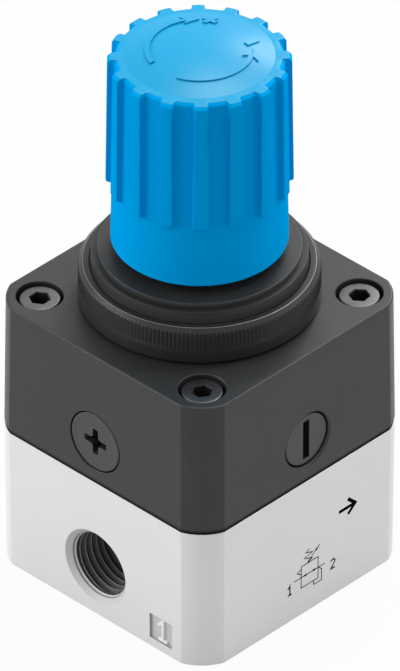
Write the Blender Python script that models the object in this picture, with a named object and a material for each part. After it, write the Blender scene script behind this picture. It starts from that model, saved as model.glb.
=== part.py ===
# Precision pressure regulator with a push-to-lock knob, ports on the left and right sides.
# Metres, +Z up, origin under the middle of the base. Port 1 faces -X, the schematic side faces -Y.

import math

import bmesh
import bpy
from mathutils import Matrix, Vector

MM = 0.001

# Clearance between pieces that touch, and the play of a turning or sliding fit
GAP = 0.3 * MM
PLAY = 0.15 * MM

# Die-cast block: base and upper housing share one outline at the parting line
BODY_WIDTH = 50.0 * MM
CORNER_SETBACK = 5.1 * MM
CORNER_RADIUS = 8.0 * MM
BASE_HEIGHT = 27.3 * MM
BASE_DRAFT = 0.14 * MM
BASE_EDGE = 0.4 * MM
HOUSING_HEIGHT = 25.3 * MM
HOUSING_DRAFT = 0.3 * MM
HOUSING_EDGE = 0.35 * MM
PARTING_BEVEL = 0.5 * MM

# Ports with a G1/4 thread, drawn at the thread's inner radius
PORT_HEIGHT = 9.8 * MM
PORT_THREAD_RADIUS = 5.72 * MM
PORT_CHAMFER_RADIUS = 7.05 * MM
PORT_DEPTH = 13.0 * MM
FLOW_PASSAGE_RADIUS = 2.4 * MM
NUMBER_RECESS_WIDTH = 5.2 * MM
NUMBER_RECESS_HEIGHT = 5.0 * MM
NUMBER_RECESS_DEPTH = 0.4 * MM
NUMBER_RECESS_ACROSS = 15.15 * MM
NUMBER_RECESS_ABOVE = 1.95 * MM

# Screws that hold the housing on the base
SCREW_INSET = 6.3 * MM
SCREW_THREAD_RADIUS = 1.9 * MM
SCREW_HEAD_RADIUS = 3.5 * MM
SCREW_HEAD_HEIGHT = 4.0 * MM
SCREW_SOCKET_ACROSS = 3.0 * MM
SCREW_SOCKET_DEPTH = 2.2 * MM
SCREW_SUNK = 0.5 * MM
SCREW_BITE = 12.5 * MM
COUNTERBORE_RADIUS = 4.0 * MM

# Diaphragm, clamped by its rim in a recess of the housing
LOWER_CHAMBER_DEPTH = 5.8 * MM
UPPER_CHAMBER_HEIGHT = 4.3 * MM
DIAPHRAGM_THICKNESS = 1.3 * MM
DIAPHRAGM_RIM = 3.0 * MM
DIAPHRAGM_FOLD_WIDTH = 3.2 * MM
DIAPHRAGM_FOLD_DEPTH = 1.4 * MM
DIAPHRAGM_PLATE_THICKNESS = 1.2 * MM
SPRING_PLATE_THICKNESS = 1.5 * MM
STUD_RADIUS = 2.2 * MM
STUD_BORE_RADIUS = 0.8 * MM
STUD_FLANGE_RADIUS = 3.4 * MM
STUD_FLANGE_THICKNESS = 0.9 * MM
STUD_NUT_ACROSS = 7.0 * MM
STUD_NUT_HEIGHT = 2.4 * MM

# Valve under the diaphragm
VALVE_BORE_RADIUS = 7.5 * MM
VALVE_BORE_FLOOR = 3.5 * MM
GUIDE_HEIGHT = 11.2 * MM
GUIDE_WALL = 2.3 * MM
GUIDE_FLOOR = 1.5 * MM
SEAT_HEIGHT = 5.6 * MM
SEAT_BORE_RADIUS = 2.6 * MM
SEAT_LIP_WIDTH = 0.7 * MM
SEAT_LIP_HEIGHT = 0.5 * MM
SEAT_SEAL_WIRE = 1.2 * MM
VALVE_DISC_THICKNESS = 1.8 * MM
VALVE_PLATE_THICKNESS = 1.2 * MM
VALVE_PIN_RADIUS = 1.2 * MM
VALVE_TAIL_RADIUS = 1.8 * MM
VALVE_STROKE = 0.8 * MM
VALVE_SPRING_WIRE = 0.7 * MM
VALVE_SPRING_TURNS = 4.0

# Neck for panel mounting, with an M36 thread drawn at its outer radius
NECK_RADIUS = 18.0 * MM
NECK_HEIGHT = 9.2 * MM
NECK_CAP_RADIUS = 16.95 * MM
NECK_CAP_STEP = 1.05 * MM
NECK_EDGE = 0.4 * MM

# Panel nut
NUT_RADIUS = 20.15 * MM
NUT_HEIGHT = 6.8 * MM
NUT_CHAMFER = 0.8 * MM
NUT_BOTTOM_CHAMFER = 0.35 * MM

# Knob: a smooth skirt below, ribs that widen downwards above it, a flat rim and a low dome on top
KNOB_LIFT = 1.8 * MM
KNOB_HEIGHT = 36.1 * MM
KNOB_SKIRT_RADIUS = 14.76 * MM
KNOB_TOP_RADIUS = 14.0 * MM
KNOB_SKIRT_HEIGHT = 11.5 * MM
KNOB_WALL = 2.1 * MM
KNOB_ROOF = 1.8 * MM
KNOB_EDGE = 0.55 * MM
KNOB_RIM_EDGE = 0.3 * MM
KNOB_DOME_RADIUS = 12.4 * MM
KNOB_DOME_HEIGHT = 2.0 * MM
RIB_COUNT = 16
RIB_WIDTH = 2.7 * MM
RIB_WIDTH_AT_TOP = 2.2 * MM
RIB_HEIGHT = 1.0 * MM
RIB_HEIGHT_AT_TOP = 1.15 * MM
RIB_SLOPE = 0.12 * MM
RIB_FOOT_CHAMFER = 0.85 * MM

# Lock teeth: outside at the foot of the spring tube, inside at the rim of the knob
TOOTH_COUNT = 20
TOOTH_HEIGHT = 0.8 * MM
KNOB_TOOTH_LENGTH = 3.0 * MM

# Spring tube, which rises into the knob
TUBE_CLEARANCE = 0.6 * MM
TUBE_WALL = 2.2 * MM
TUBE_HEIGHT = 26.15 * MM
TUBE_ROOF = 3.0 * MM
KEY_HEIGHT = 0.7 * MM
KEY_WIDTH = 2.2 * MM
BREATHER_RADIUS = 1.2 * MM
DETENT_WIRE = 0.9 * MM
DETENT_BELOW_TOP = 4.3 * MM
DETENT_RIDGE = 0.3 * MM

# Adjusting spindle with an M8 thread, and the nut that it drives
SPINDLE_RADIUS = 4.0 * MM
SPINDLE_PITCH = 1.25 * MM
SPINDLE_TURNS = 6
SPINDLE_COLLAR_RADIUS = 6.3 * MM
SPINDLE_COLLAR_THICKNESS = 2.0 * MM
SPINDLE_HEX_ACROSS = 7.0 * MM
WASHER_RADIUS = 6.8 * MM
WASHER_THICKNESS = 0.8 * MM
CLIP_RADIUS = 6.0 * MM
CLIP_THICKNESS = 0.8 * MM
CLIP_GROOVE_DEPTH = 0.9 * MM
CLIP_OPENING = math.radians(70.0)
HUB_WALL = 2.2 * MM
SPRING_NUT_FLANGE = 3.0 * MM
SPRING_NUT_HUB = 4.4 * MM
SPRING_NUT_START = 0.5 * MM

# Range spring
RANGE_SPRING_WIRE = 2.2 * MM
RANGE_SPRING_TURNS = 7.0

# Plugs in the housing: a cross recess on the left, a slot on the right
PLUG_ABOVE_PARTING = 8.3 * MM
PLUG_THREAD_RADIUS = 4.5 * MM
CROSS_PLUG_RADIUS = 5.45 * MM
CROSS_PLUG_FLANGE = 1.6 * MM
CROSS_PLUG_LENGTH = 6.4 * MM
CROSS_SIZE = 5.0 * MM
CROSS_ARM = 1.1 * MM
CROSS_DEPTH = 1.8 * MM
SLOT_PLUG_RADIUS = 4.85 * MM
SLOT_PLUG_LENGTH = 5.0 * MM
SLOT_PLUG_SUNK = 0.4 * MM
SLOT_LENGTH = 7.6 * MM
SLOT_WIDTH = 1.5 * MM
SLOT_DEPTH = 1.3 * MM
PLUG_SEAL_THICKNESS = 0.8 * MM
PLUG_MOUTH_CHAMFER = 0.6 * MM
GAUGE_PASSAGE_RADIUS = 0.9 * MM
GAUGE_PASSAGE_INSET = 3.4 * MM
PASSAGE_SEAL_WIRE = 0.8 * MM
PASSAGE_SEAL_LAND = 0.4 * MM

# Facets of round pieces
ROUND_COUNT = 48
MEDIUM_COUNT = 28
SMALL_COUNT = 16

# Levels and radii that follow from the sizes above
HALF = BODY_WIDTH / 2
SCREW_OFFSET = HALF - SCREW_INSET
HOUSING_BOTTOM = BASE_HEIGHT + GAP
HOUSING_TOP = HOUSING_BOTTOM + HOUSING_HEIGHT
NECK_TOP = HOUSING_TOP + NECK_HEIGHT
NECK_CAP_TOP = NECK_TOP + NECK_CAP_STEP
KNOB_BOTTOM = NECK_CAP_TOP + KNOB_LIFT
KNOB_RIM_TOP = KNOB_BOTTOM + KNOB_HEIGHT
KNOB_TRAVEL = KNOB_LIFT - GAP
KNOB_BORE_RADIUS = KNOB_TOP_RADIUS - KNOB_WALL + GAP
TUBE_RADIUS = KNOB_BORE_RADIUS - TUBE_CLEARANCE
TUBE_BORE_RADIUS = TUBE_RADIUS - TUBE_WALL
TUBE_TOP = NECK_CAP_TOP + TUBE_HEIGHT
TUBE_ROOF_UNDERSIDE = TUBE_TOP - TUBE_ROOF
TOOTH_TOP = KNOB_BOTTOM - GAP
LOCK_ROOT_RADIUS = TUBE_RADIUS + TOOTH_HEIGHT + GAP
WASHER_TOP = TUBE_ROOF_UNDERSIDE - GAP
COLLAR_TOP = WASHER_TOP - WASHER_THICKNESS - GAP
COLLAR_BOTTOM = COLLAR_TOP - SPINDLE_COLLAR_THICKNESS
CLIP_BOTTOM = TUBE_TOP + GAP
CLIP_TOP = CLIP_BOTTOM + CLIP_THICKNESS
SPINDLE_HEX_BOTTOM = CLIP_TOP + GAP
KNOB_HUB_BOTTOM = SPINDLE_HEX_BOTTOM + KNOB_TRAVEL
KNOB_ROOF_UNDERSIDE = KNOB_RIM_TOP - KNOB_ROOF
SPINDLE_TOP = KNOB_ROOF_UNDERSIDE - KNOB_TRAVEL - GAP
SPRING_NUT_TOP = COLLAR_BOTTOM - SPRING_NUT_START
SPRING_NUT_SEAT = SPRING_NUT_TOP - SPRING_NUT_FLANGE
SPRING_NUT_BOTTOM = SPRING_NUT_SEAT - SPRING_NUT_HUB
SPRING_NUT_TRAVEL = SPINDLE_TURNS * SPINDLE_PITCH
SPINDLE_BOTTOM = SPRING_NUT_BOTTOM - SPRING_NUT_TRAVEL - SPINDLE_PITCH
KEY_RADIUS = TUBE_BORE_RADIUS - KEY_HEIGHT
RANGE_SPRING_RADIUS = KEY_RADIUS - 2 * GAP - RANGE_SPRING_WIRE / 2
SPRING_CENTRING_RADIUS = RANGE_SPRING_RADIUS - RANGE_SPRING_WIRE / 2 - GAP
DETENT_HEIGHT = TUBE_TOP - DETENT_BELOW_TOP
DETENT_RADIUS = TUBE_RADIUS - DETENT_WIRE / 2 + DETENT_RIDGE
DETENT_GROOVE_RADIUS = DETENT_RADIUS - DETENT_WIRE / 2 - GAP
GAUGE_PASSAGE_OFFSET = HALF - GAUGE_PASSAGE_INSET
PASSAGE_SEAL_RADIUS = GAUGE_PASSAGE_RADIUS + PASSAGE_SEAL_WIRE / 2 + GAP / 2
PASSAGE_POCKET_RADIUS = PASSAGE_SEAL_RADIUS + PASSAGE_SEAL_WIRE / 2 + GAP
RIM_RADIUS = GAUGE_PASSAGE_OFFSET - PASSAGE_POCKET_RADIUS - PASSAGE_SEAL_LAND - GAP
CHAMBER_RADIUS = RIM_RADIUS - DIAPHRAGM_RIM
DIAPHRAGM_BOTTOM = BASE_HEIGHT + GAP
DIAPHRAGM_TOP = DIAPHRAGM_BOTTOM + DIAPHRAGM_THICKNESS
RECESS_TOP = DIAPHRAGM_TOP + GAP
UPPER_CHAMBER_TOP = RECESS_TOP + UPPER_CHAMBER_HEIGHT
LOWER_CHAMBER_FLOOR = BASE_HEIGHT - LOWER_CHAMBER_DEPTH
FOLD_OUTER_RADIUS = CHAMBER_RADIUS - GAP
FOLD_INNER_RADIUS = FOLD_OUTER_RADIUS - DIAPHRAGM_FOLD_WIDTH
PLATE_RADIUS = FOLD_INNER_RADIUS - 2 * GAP
DIAPHRAGM_PLATE_TOP = DIAPHRAGM_BOTTOM - GAP
DIAPHRAGM_PLATE_BOTTOM = DIAPHRAGM_PLATE_TOP - DIAPHRAGM_PLATE_THICKNESS
STUD_FLANGE_TOP = DIAPHRAGM_PLATE_BOTTOM - GAP
STUD_BOTTOM = STUD_FLANGE_TOP - STUD_FLANGE_THICKNESS
SPRING_PLATE_BOTTOM = DIAPHRAGM_TOP + GAP
SPRING_PLATE_TOP = SPRING_PLATE_BOTTOM + SPRING_PLATE_THICKNESS
STUD_NUT_BOTTOM = SPRING_PLATE_TOP + GAP
STUD_NUT_TOP = STUD_NUT_BOTTOM + STUD_NUT_HEIGHT
STUD_TOP = STUD_NUT_TOP + GAP
GUIDE_RADIUS = VALVE_BORE_RADIUS - GAP
GUIDE_BORE_RADIUS = GUIDE_RADIUS - GUIDE_WALL
GUIDE_BOTTOM = VALVE_BORE_FLOOR + GAP
GUIDE_TOP = GUIDE_BOTTOM + GUIDE_HEIGHT
SEAT_BOTTOM = GUIDE_TOP + GAP
SEAT_TOP = SEAT_BOTTOM + SEAT_HEIGHT
VALVE_DISC_TOP = SEAT_BOTTOM - SEAT_LIP_HEIGHT - GAP
VALVE_DISC_BOTTOM = VALVE_DISC_TOP - VALVE_DISC_THICKNESS
VALVE_DISC_RADIUS = GUIDE_BORE_RADIUS - 2 * GAP
VALVE_PLATE_TOP = VALVE_DISC_BOTTOM - GAP
VALVE_PLATE_BOTTOM = VALVE_PLATE_TOP - VALVE_PLATE_THICKNESS
VALVE_PIN_TOP = STUD_BOTTOM - GAP
VALVE_SPRING_BOTTOM = GUIDE_BOTTOM + GUIDE_FLOOR + GAP
VALVE_SPRING_TOP = VALVE_PLATE_BOTTOM - GAP
VALVE_SPRING_RADIUS = VALVE_TAIL_RADIUS + 2 * GAP + VALVE_SPRING_WIRE / 2
NUT_BOTTOM = HOUSING_TOP + GAP
PLUG_HEIGHT = BASE_HEIGHT + PLUG_ABOVE_PARTING


# Blender helpers
def clear_scene():
    for thing in list(bpy.data.objects):
        bpy.data.objects.remove(thing, do_unlink=True)


def material(name, colour, roughness, metallic=0.0):
    made = bpy.data.materials.new(name)
    made.use_nodes = True
    shader = made.node_tree.nodes["Principled BSDF"]
    shader.inputs["Base Color"].default_value = (*colour, 1.0)
    shader.inputs["Roughness"].default_value = roughness
    shader.inputs["Metallic"].default_value = metallic
    made.diffuse_color = (*colour, 1.0)
    return made


def finish_mesh(bm, name, sharp=math.radians(32)):
    """Close the mesh, turn its faces outwards and shade it smooth between sharp edges."""
    bmesh.ops.remove_doubles(bm, verts=bm.verts, dist=1e-7)
    bmesh.ops.recalc_face_normals(bm, faces=bm.faces)
    if bm.calc_volume(signed=True) < 0:
        bmesh.ops.reverse_faces(bm, faces=bm.faces)
    mesh = bpy.data.meshes.new(name)
    bm.to_mesh(mesh)
    bm.free()
    mesh.shade_smooth()
    mesh.set_sharp_from_angle(angle=sharp)
    return mesh


def place(name, mesh, finish=None, location=(0, 0, 0), rotation=(0, 0, 0), parent=None):
    thing = bpy.data.objects.new(name, mesh)
    bpy.context.collection.objects.link(thing)
    thing.location = location
    thing.rotation_euler = rotation
    if finish:
        mesh.materials.append(finish)
    if parent:
        thing.parent = parent
    return thing


def hide_cutter(thing):
    thing.hide_render = True
    thing.display_type = "WIRE"
    return thing


def combine(target, tool, operation):
    hide_cutter(tool)
    step = target.modifiers.new(tool.name, "BOOLEAN")
    step.operation = operation
    step.solver = "EXACT"
    step.object = tool


def cut(target, tool):
    combine(target, tool, "DIFFERENCE")


def join(target, tool):
    combine(target, tool, "UNION")


# Forms
def spin_profile(bm, profile, segments, matrix=None):
    """Turn a closed profile of (radius, height) points about the Z axis."""
    ring = [bm.verts.new((radius, 0, height)) for radius, height in profile]
    edges = [bm.edges.new((a, b)) for a, b in zip(ring, ring[1:] + ring[:1])
             if a.co.x > 0 or b.co.x > 0]
    known = set(bm.verts) - set(ring)
    bmesh.ops.spin(bm, geom=ring + edges, cent=(0, 0, 0), axis=(0, 0, 1), dvec=(0, 0, 0),
                   angle=2 * math.pi, steps=segments, use_merge=False, use_duplicate=False)
    made = [vert for vert in bm.verts if vert not in known]
    if matrix is not None:
        bmesh.ops.transform(bm, matrix=matrix, verts=made)
    bmesh.ops.remove_doubles(bm, verts=made, dist=1e-7)


def turned(name, profile, segments=MEDIUM_COUNT):
    bm = bmesh.new()
    spin_profile(bm, profile, segments)
    return finish_mesh(bm, name)


def add_loops(bm, loops, closed_ring=False):
    """Join a stack of equal point loops with quads; cap the two ends unless the stack is a ring."""
    rows = [[bm.verts.new(point) for point in loop] for loop in loops]
    pairs = list(zip(rows, rows[1:]))
    if closed_ring:
        pairs.append((rows[-1], rows[0]))
    for low, high in pairs:
        count = len(low)
        for i in range(count):
            j = (i + 1) % count
            bm.faces.new((low[i], low[j], high[j], high[i]))
    if not closed_ring:
        bm.faces.new(list(reversed(rows[0])))
        bm.faces.new(rows[-1])


def lofted(name, loops, closed_ring=False):
    bm = bmesh.new()
    add_loops(bm, loops, closed_ring)
    return finish_mesh(bm, name)


def extrude_outline(bm, outline, low, high, matrix=None):
    base = [bm.verts.new((x, y, low)) for x, y in outline]
    face = bm.faces.new(base)
    grown = bmesh.ops.extrude_face_region(bm, geom=[face])
    lifted = [item for item in grown["geom"] if isinstance(item, bmesh.types.BMVert)]
    bmesh.ops.translate(bm, vec=(0, 0, high - low), verts=lifted)
    if matrix is not None:
        bmesh.ops.transform(bm, matrix=matrix, verts=base + lifted)


def extruded(name, outline, low, high, matrix=None):
    bm = bmesh.new()
    extrude_outline(bm, outline, low, high, matrix)
    return finish_mesh(bm, name)


def cylinder_profile(radius, low, high):
    return [(0, low), (radius, low), (radius, high), (0, high)]


def ring_profile(inner, outer, low, high):
    return [(inner, low), (outer, low), (outer, high), (inner, high)]


def round_ring(radius, wire, height, sides):
    steps = [2 * math.pi * (i + 0.5) / sides for i in range(sides)]
    return [(radius + wire / 2 * math.cos(a), height + wire / 2 * math.sin(a)) for a in steps]


def circle_outline(radius, count, start=0.0):
    angles = [start + 2 * math.pi * i / count for i in range(count)]
    return [(radius * math.cos(a), radius * math.sin(a)) for a in angles]


def hexagon(across, start=0.0):
    return circle_outline(across / math.sqrt(3), 6, start)


def square_outline(half, steps=6):
    """A square whose corners are cut by shallow arcs that meet the sides at an edge."""
    chord = CORNER_SETBACK / math.sqrt(2)
    reach = half - CORNER_SETBACK / 2 - math.sqrt(CORNER_RADIUS ** 2 - chord ** 2) / math.sqrt(2)
    sweep = math.asin(chord / CORNER_RADIUS)
    outline = []
    for quarter in range(4):
        diagonal = math.pi / 4 + quarter * math.pi / 2
        centre = Vector((math.cos(diagonal), math.sin(diagonal))) * reach * math.sqrt(2)
        for i in range(steps + 1):
            angle = diagonal - sweep + 2 * sweep * i / steps
            outline.append(centre + CORNER_RADIUS * Vector((math.cos(angle), math.sin(angle))))
    return outline


def block(name, levels):
    """A drafted block from (height, half width) levels."""
    return lofted(name, [[(x, y, height) for x, y in square_outline(half)]
                         for height, half in levels])


def coil(name, radius, wire, low, high, turns, finish, per_turn=12, sides=6):
    """A compression spring whose end turns lie flat."""
    start = low + wire / 2
    rise = high - wire / 2 - start
    closed = 0.75
    count = round(turns * per_turn)
    curve = bpy.data.curves.new(name, "CURVE")
    curve.dimensions = "3D"
    spline = curve.splines.new("POLY")
    spline.points.add(count)
    end_rise = closed * wire * 1.15
    for i in range(count + 1):
        turn = turns * i / count
        if turn < closed:
            height = end_rise * turn / closed
        elif turn > turns - closed:
            height = rise - end_rise * (turns - turn) / closed
        else:
            height = end_rise + (rise - 2 * end_rise) * (turn - closed) / (turns - 2 * closed)
        angle = 2 * math.pi * turn
        spline.points[i].co = (radius * math.cos(angle), radius * math.sin(angle), start + height, 1)
    curve.bevel_depth = wire / 2
    curve.bevel_resolution = sides // 2 - 2
    curve.use_fill_caps = True
    curve.materials.append(finish)
    thing = bpy.data.objects.new(name, curve)
    bpy.context.collection.objects.link(thing)
    return thing


def four_corners():
    return [(x * SCREW_OFFSET, y * SCREW_OFFSET) for x, y in ((-1, -1), (1, -1), (1, 1), (-1, 1))]


TO_LEFT = Matrix.Rotation(-math.pi / 2, 4, "Y")
TO_RIGHT = Matrix.Rotation(math.pi / 2, 4, "Y")
TO_FRONT = Matrix.Rotation(math.pi / 2, 4, "X")


# Base with ports, valve bore and lower chamber
def make_base(finish):
    bottom_half = HALF - BASE_DRAFT
    base = place("base_body", block("base_body", [
        (0, bottom_half - BASE_EDGE),
        (BASE_EDGE, bottom_half),
        (BASE_HEIGHT, HALF),
    ]), finish)
    over = BASE_HEIGHT + GAP
    cut(base, place("cut_valve_space", turned("cut_valve_space", [
        (0, VALVE_BORE_FLOOR),
        (VALVE_BORE_RADIUS, VALVE_BORE_FLOOR),
        (VALVE_BORE_RADIUS, LOWER_CHAMBER_FLOOR),
        (CHAMBER_RADIUS, LOWER_CHAMBER_FLOOR),
        (CHAMBER_RADIUS, over),
        (0, over),
    ])))

    ports = bmesh.new()
    mouth = HALF + GAP
    chamfer = PORT_CHAMFER_RADIUS - PORT_THREAD_RADIUS
    profile = [
        (0, HALF - PORT_DEPTH),
        (PORT_THREAD_RADIUS, HALF - PORT_DEPTH),
        (PORT_THREAD_RADIUS, HALF - BASE_DRAFT - chamfer),
        (PORT_CHAMFER_RADIUS, HALF - BASE_DRAFT),
        (PORT_CHAMFER_RADIUS, mouth),
        (0, mouth),
    ]
    for turn in (TO_LEFT, TO_RIGHT):
        spin_profile(ports, profile, MEDIUM_COUNT, Matrix.Translation((0, 0, PORT_HEIGHT)) @ turn)
    cut(base, place("cut_ports", finish_mesh(ports, "cut_ports")))

    passages = bmesh.new()
    inlet = cylinder_profile(FLOW_PASSAGE_RADIUS, VALVE_BORE_RADIUS - GAP, HALF - PORT_DEPTH + GAP)
    spin_profile(passages, inlet, SMALL_COUNT, Matrix.Translation((0, 0, PORT_HEIGHT)) @ TO_LEFT)
    outlet_x = CHAMBER_RADIUS - FLOW_PASSAGE_RADIUS - GAP
    outlet = cylinder_profile(FLOW_PASSAGE_RADIUS, PORT_HEIGHT, LOWER_CHAMBER_FLOOR + GAP)
    spin_profile(passages, outlet, SMALL_COUNT, Matrix.Translation((outlet_x, 0, 0)))
    gauge_bottom = PORT_HEIGHT + PORT_THREAD_RADIUS / 2
    gauge = cylinder_profile(GAUGE_PASSAGE_RADIUS, gauge_bottom, over)
    spin_profile(passages, gauge, 12, Matrix.Translation((-GAUGE_PASSAGE_OFFSET, 0, 0)))
    top = Vector((0, -GAUGE_PASSAGE_OFFSET, over))
    target = Vector((0, -CHAMBER_RADIUS + GAP, (LOWER_CHAMBER_FLOOR + BASE_HEIGHT) / 2))
    lean = (top - target).to_track_quat("Z", "X").to_matrix().to_4x4()
    slanted = cylinder_profile(GAUGE_PASSAGE_RADIUS, 0, (top - target).length + GAP)
    spin_profile(passages, slanted, 12, Matrix.Translation(target) @ lean)
    cut(base, place("cut_passages", finish_mesh(passages, "cut_passages")))

    holes = bmesh.new()
    tapped = cylinder_profile(SCREW_THREAD_RADIUS + GAP, BASE_HEIGHT - SCREW_BITE - GAP, over)
    for x, y in four_corners():
        spin_profile(holes, tapped, SMALL_COUNT, Matrix.Translation((x, y, 0)))
    cut(base, place("cut_tapped_holes", finish_mesh(holes, "cut_tapped_holes")))

    recesses = bmesh.new()
    across = (-NUMBER_RECESS_ACROSS - NUMBER_RECESS_WIDTH / 2,
              -NUMBER_RECESS_ACROSS + NUMBER_RECESS_WIDTH / 2)
    upright = (NUMBER_RECESS_ABOVE, NUMBER_RECESS_ABOVE + NUMBER_RECESS_HEIGHT)
    outline = [(across[0], upright[0]), (across[1], upright[0]),
               (across[1], upright[1]), (across[0], upright[1])]
    stand = Matrix(((0, 0, 1, 0), (1, 0, 0, 0), (0, 1, 0, 0), (0, 0, 0, 1)))
    floor = bottom_half - NUMBER_RECESS_DEPTH
    extrude_outline(recesses, outline, -mouth, -floor, stand)
    extrude_outline(recesses, outline, floor, mouth, stand)
    cut(base, place("cut_number_recesses", finish_mesh(recesses, "cut_number_recesses")))
    return base


# Upper housing with neck, spring tube and lock teeth
def tooth_ring(inner, outer, count, share, start):
    """Outline of a ring's toothed edge: count teeth that fill this share of the pitch."""
    pitch = 2 * math.pi / count
    outline = []
    for i in range(count):
        middle = start + i * pitch
        for radius, angle in ((inner, middle - pitch * share / 2), (outer, middle - pitch * share / 2),
                              (outer, middle + pitch * share / 2), (inner, middle + pitch * share / 2)):
            outline.append((radius * math.cos(angle), radius * math.sin(angle)))
    return outline


def tooth_share():
    """Share of the pitch that one tooth fills, with a gap on both of its flanks."""
    middle = TUBE_RADIUS + TOOTH_HEIGHT / 2
    return 0.5 - GAP / (2 * math.pi * middle / TOOTH_COUNT)


def keyed_bore(radius, key_radius, width, count):
    """A circle with two flats-sided keys that stand into it, on +X and -X."""
    half_angle = math.asin(width / 2 / radius)
    outline = []
    for side in (0, math.pi):
        outline.append((key_radius, -width / 2, side))
        outline.append((key_radius, width / 2, side))
        for i in range(count + 1):
            angle = half_angle + (math.pi - 2 * half_angle) * i / count
            outline.append((radius * math.cos(angle), radius * math.sin(angle), side))
    return [(x * math.cos(s) - y * math.sin(s), x * math.sin(s) + y * math.cos(s))
            for x, y, s in outline]


def make_housing(finish):
    top_half = HALF - HOUSING_DRAFT
    housing = place("upper_housing", block("upper_housing", [
        (HOUSING_BOTTOM, HALF - PARTING_BEVEL),
        (HOUSING_BOTTOM + PARTING_BEVEL, HALF),
        (HOUSING_TOP - HOUSING_EDGE, top_half),
        (HOUSING_TOP, top_half - HOUSING_EDGE),
    ]), finish)
    sunk = HOUSING_TOP - NECK_HEIGHT / 2
    groove = DETENT_WIRE / 2 + GAP
    join(housing, place("neck_and_tube", turned("neck_and_tube", [
        (0, sunk),
        (NECK_RADIUS, sunk),
        (NECK_RADIUS, NECK_TOP - NECK_EDGE),
        (NECK_RADIUS - NECK_EDGE, NECK_TOP),
        (NECK_CAP_RADIUS, NECK_TOP),
        (NECK_CAP_RADIUS, NECK_CAP_TOP - NECK_EDGE / 2),
        (NECK_CAP_RADIUS - NECK_EDGE / 2, NECK_CAP_TOP),
        (TUBE_RADIUS, NECK_CAP_TOP),
        (TUBE_RADIUS, DETENT_HEIGHT - groove),
        (DETENT_GROOVE_RADIUS, DETENT_HEIGHT - groove),
        (DETENT_GROOVE_RADIUS, DETENT_HEIGHT + groove),
        (TUBE_RADIUS, DETENT_HEIGHT + groove),
        (TUBE_RADIUS, TUBE_TOP - NECK_EDGE),
        (TUBE_RADIUS - NECK_EDGE, TUBE_TOP),
        (0, TUBE_TOP),
    ], ROUND_COUNT)))
    teeth = tooth_ring(TUBE_RADIUS - TUBE_WALL / 2, TUBE_RADIUS + TOOTH_HEIGHT, TOOTH_COUNT,
                       tooth_share(), 0)
    join(housing, place("lock_teeth", extruded("lock_teeth", teeth, NECK_CAP_TOP - NECK_EDGE,
                                               TOOTH_TOP)))

    cut(housing, place("cut_chamber", turned("cut_chamber", [
        (0, HOUSING_BOTTOM - GAP),
        (RIM_RADIUS + GAP, HOUSING_BOTTOM - GAP),
        (RIM_RADIUS + GAP, RECESS_TOP),
        (CHAMBER_RADIUS, RECESS_TOP),
        (CHAMBER_RADIUS, UPPER_CHAMBER_TOP),
        (0, UPPER_CHAMBER_TOP),
    ])))
    bore = keyed_bore(TUBE_BORE_RADIUS, KEY_RADIUS, KEY_WIDTH, 20)
    cut(housing, place("cut_spring_bore", extruded(
        "cut_spring_bore", bore, UPPER_CHAMBER_TOP - GAP, TUBE_ROOF_UNDERSIDE)))
    cut(housing, place("cut_spindle_hole", turned("cut_spindle_hole", cylinder_profile(
        SPINDLE_RADIUS + PLAY, TUBE_ROOF_UNDERSIDE - GAP, TUBE_TOP + GAP), SMALL_COUNT)))
    breather = cylinder_profile(BREATHER_RADIUS, -TUBE_RADIUS - GAP, TUBE_RADIUS + GAP)
    cut(housing, place("cut_breathers", turned("cut_breathers", breather, 12),
                       location=(0, 0, (TOOTH_TOP + DETENT_HEIGHT) / 2),
                       rotation=(math.pi / 2, 0, 0)))

    holes = bmesh.new()
    floor = HOUSING_TOP - SCREW_SUNK - SCREW_HEAD_HEIGHT - GAP
    profile = [
        (0, HOUSING_BOTTOM - GAP),
        (SCREW_THREAD_RADIUS + GAP, HOUSING_BOTTOM - GAP),
        (SCREW_THREAD_RADIUS + GAP, floor),
        (COUNTERBORE_RADIUS, floor),
        (COUNTERBORE_RADIUS, HOUSING_TOP + GAP),
        (0, HOUSING_TOP + GAP),
    ]
    for x, y in four_corners():
        spin_profile(holes, profile, SMALL_COUNT, Matrix.Translation((x, y, 0)))
    cut(housing, place("cut_screw_holes", finish_mesh(holes, "cut_screw_holes")))

    wells = bmesh.new()
    mouth = HALF + GAP
    face = plug_face()
    step = CROSS_PLUG_FLANGE + PLUG_SEAL_THICKNESS + 2 * GAP
    cross_well = [
        (0, face - CROSS_PLUG_LENGTH - GAP),
        (PLUG_THREAD_RADIUS + GAP, face - CROSS_PLUG_LENGTH - GAP),
        (PLUG_THREAD_RADIUS + GAP, face - step),
        (CROSS_PLUG_RADIUS + GAP, face - step),
        (CROSS_PLUG_RADIUS + GAP, mouth),
        (0, mouth),
    ]
    spin_profile(wells, cross_well, MEDIUM_COUNT, Matrix.Translation((0, 0, PLUG_HEIGHT)) @ TO_LEFT)
    slot_floor = face - SLOT_PLUG_SUNK - SLOT_PLUG_LENGTH - PLUG_SEAL_THICKNESS - 2 * GAP
    slot_radius = SLOT_PLUG_RADIUS + GAP
    slot_well = [
        (0, slot_floor),
        (slot_radius, slot_floor),
        (slot_radius, face - PLUG_MOUTH_CHAMFER),
        (slot_radius + PLUG_MOUTH_CHAMFER, face),
        (slot_radius + PLUG_MOUTH_CHAMFER, mouth),
        (0, mouth),
    ]
    spin_profile(wells, slot_well, MEDIUM_COUNT, Matrix.Translation((0, 0, PLUG_HEIGHT)) @ TO_FRONT)
    cut(housing, place("cut_plug_wells", finish_mesh(wells, "cut_plug_wells")))

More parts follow.
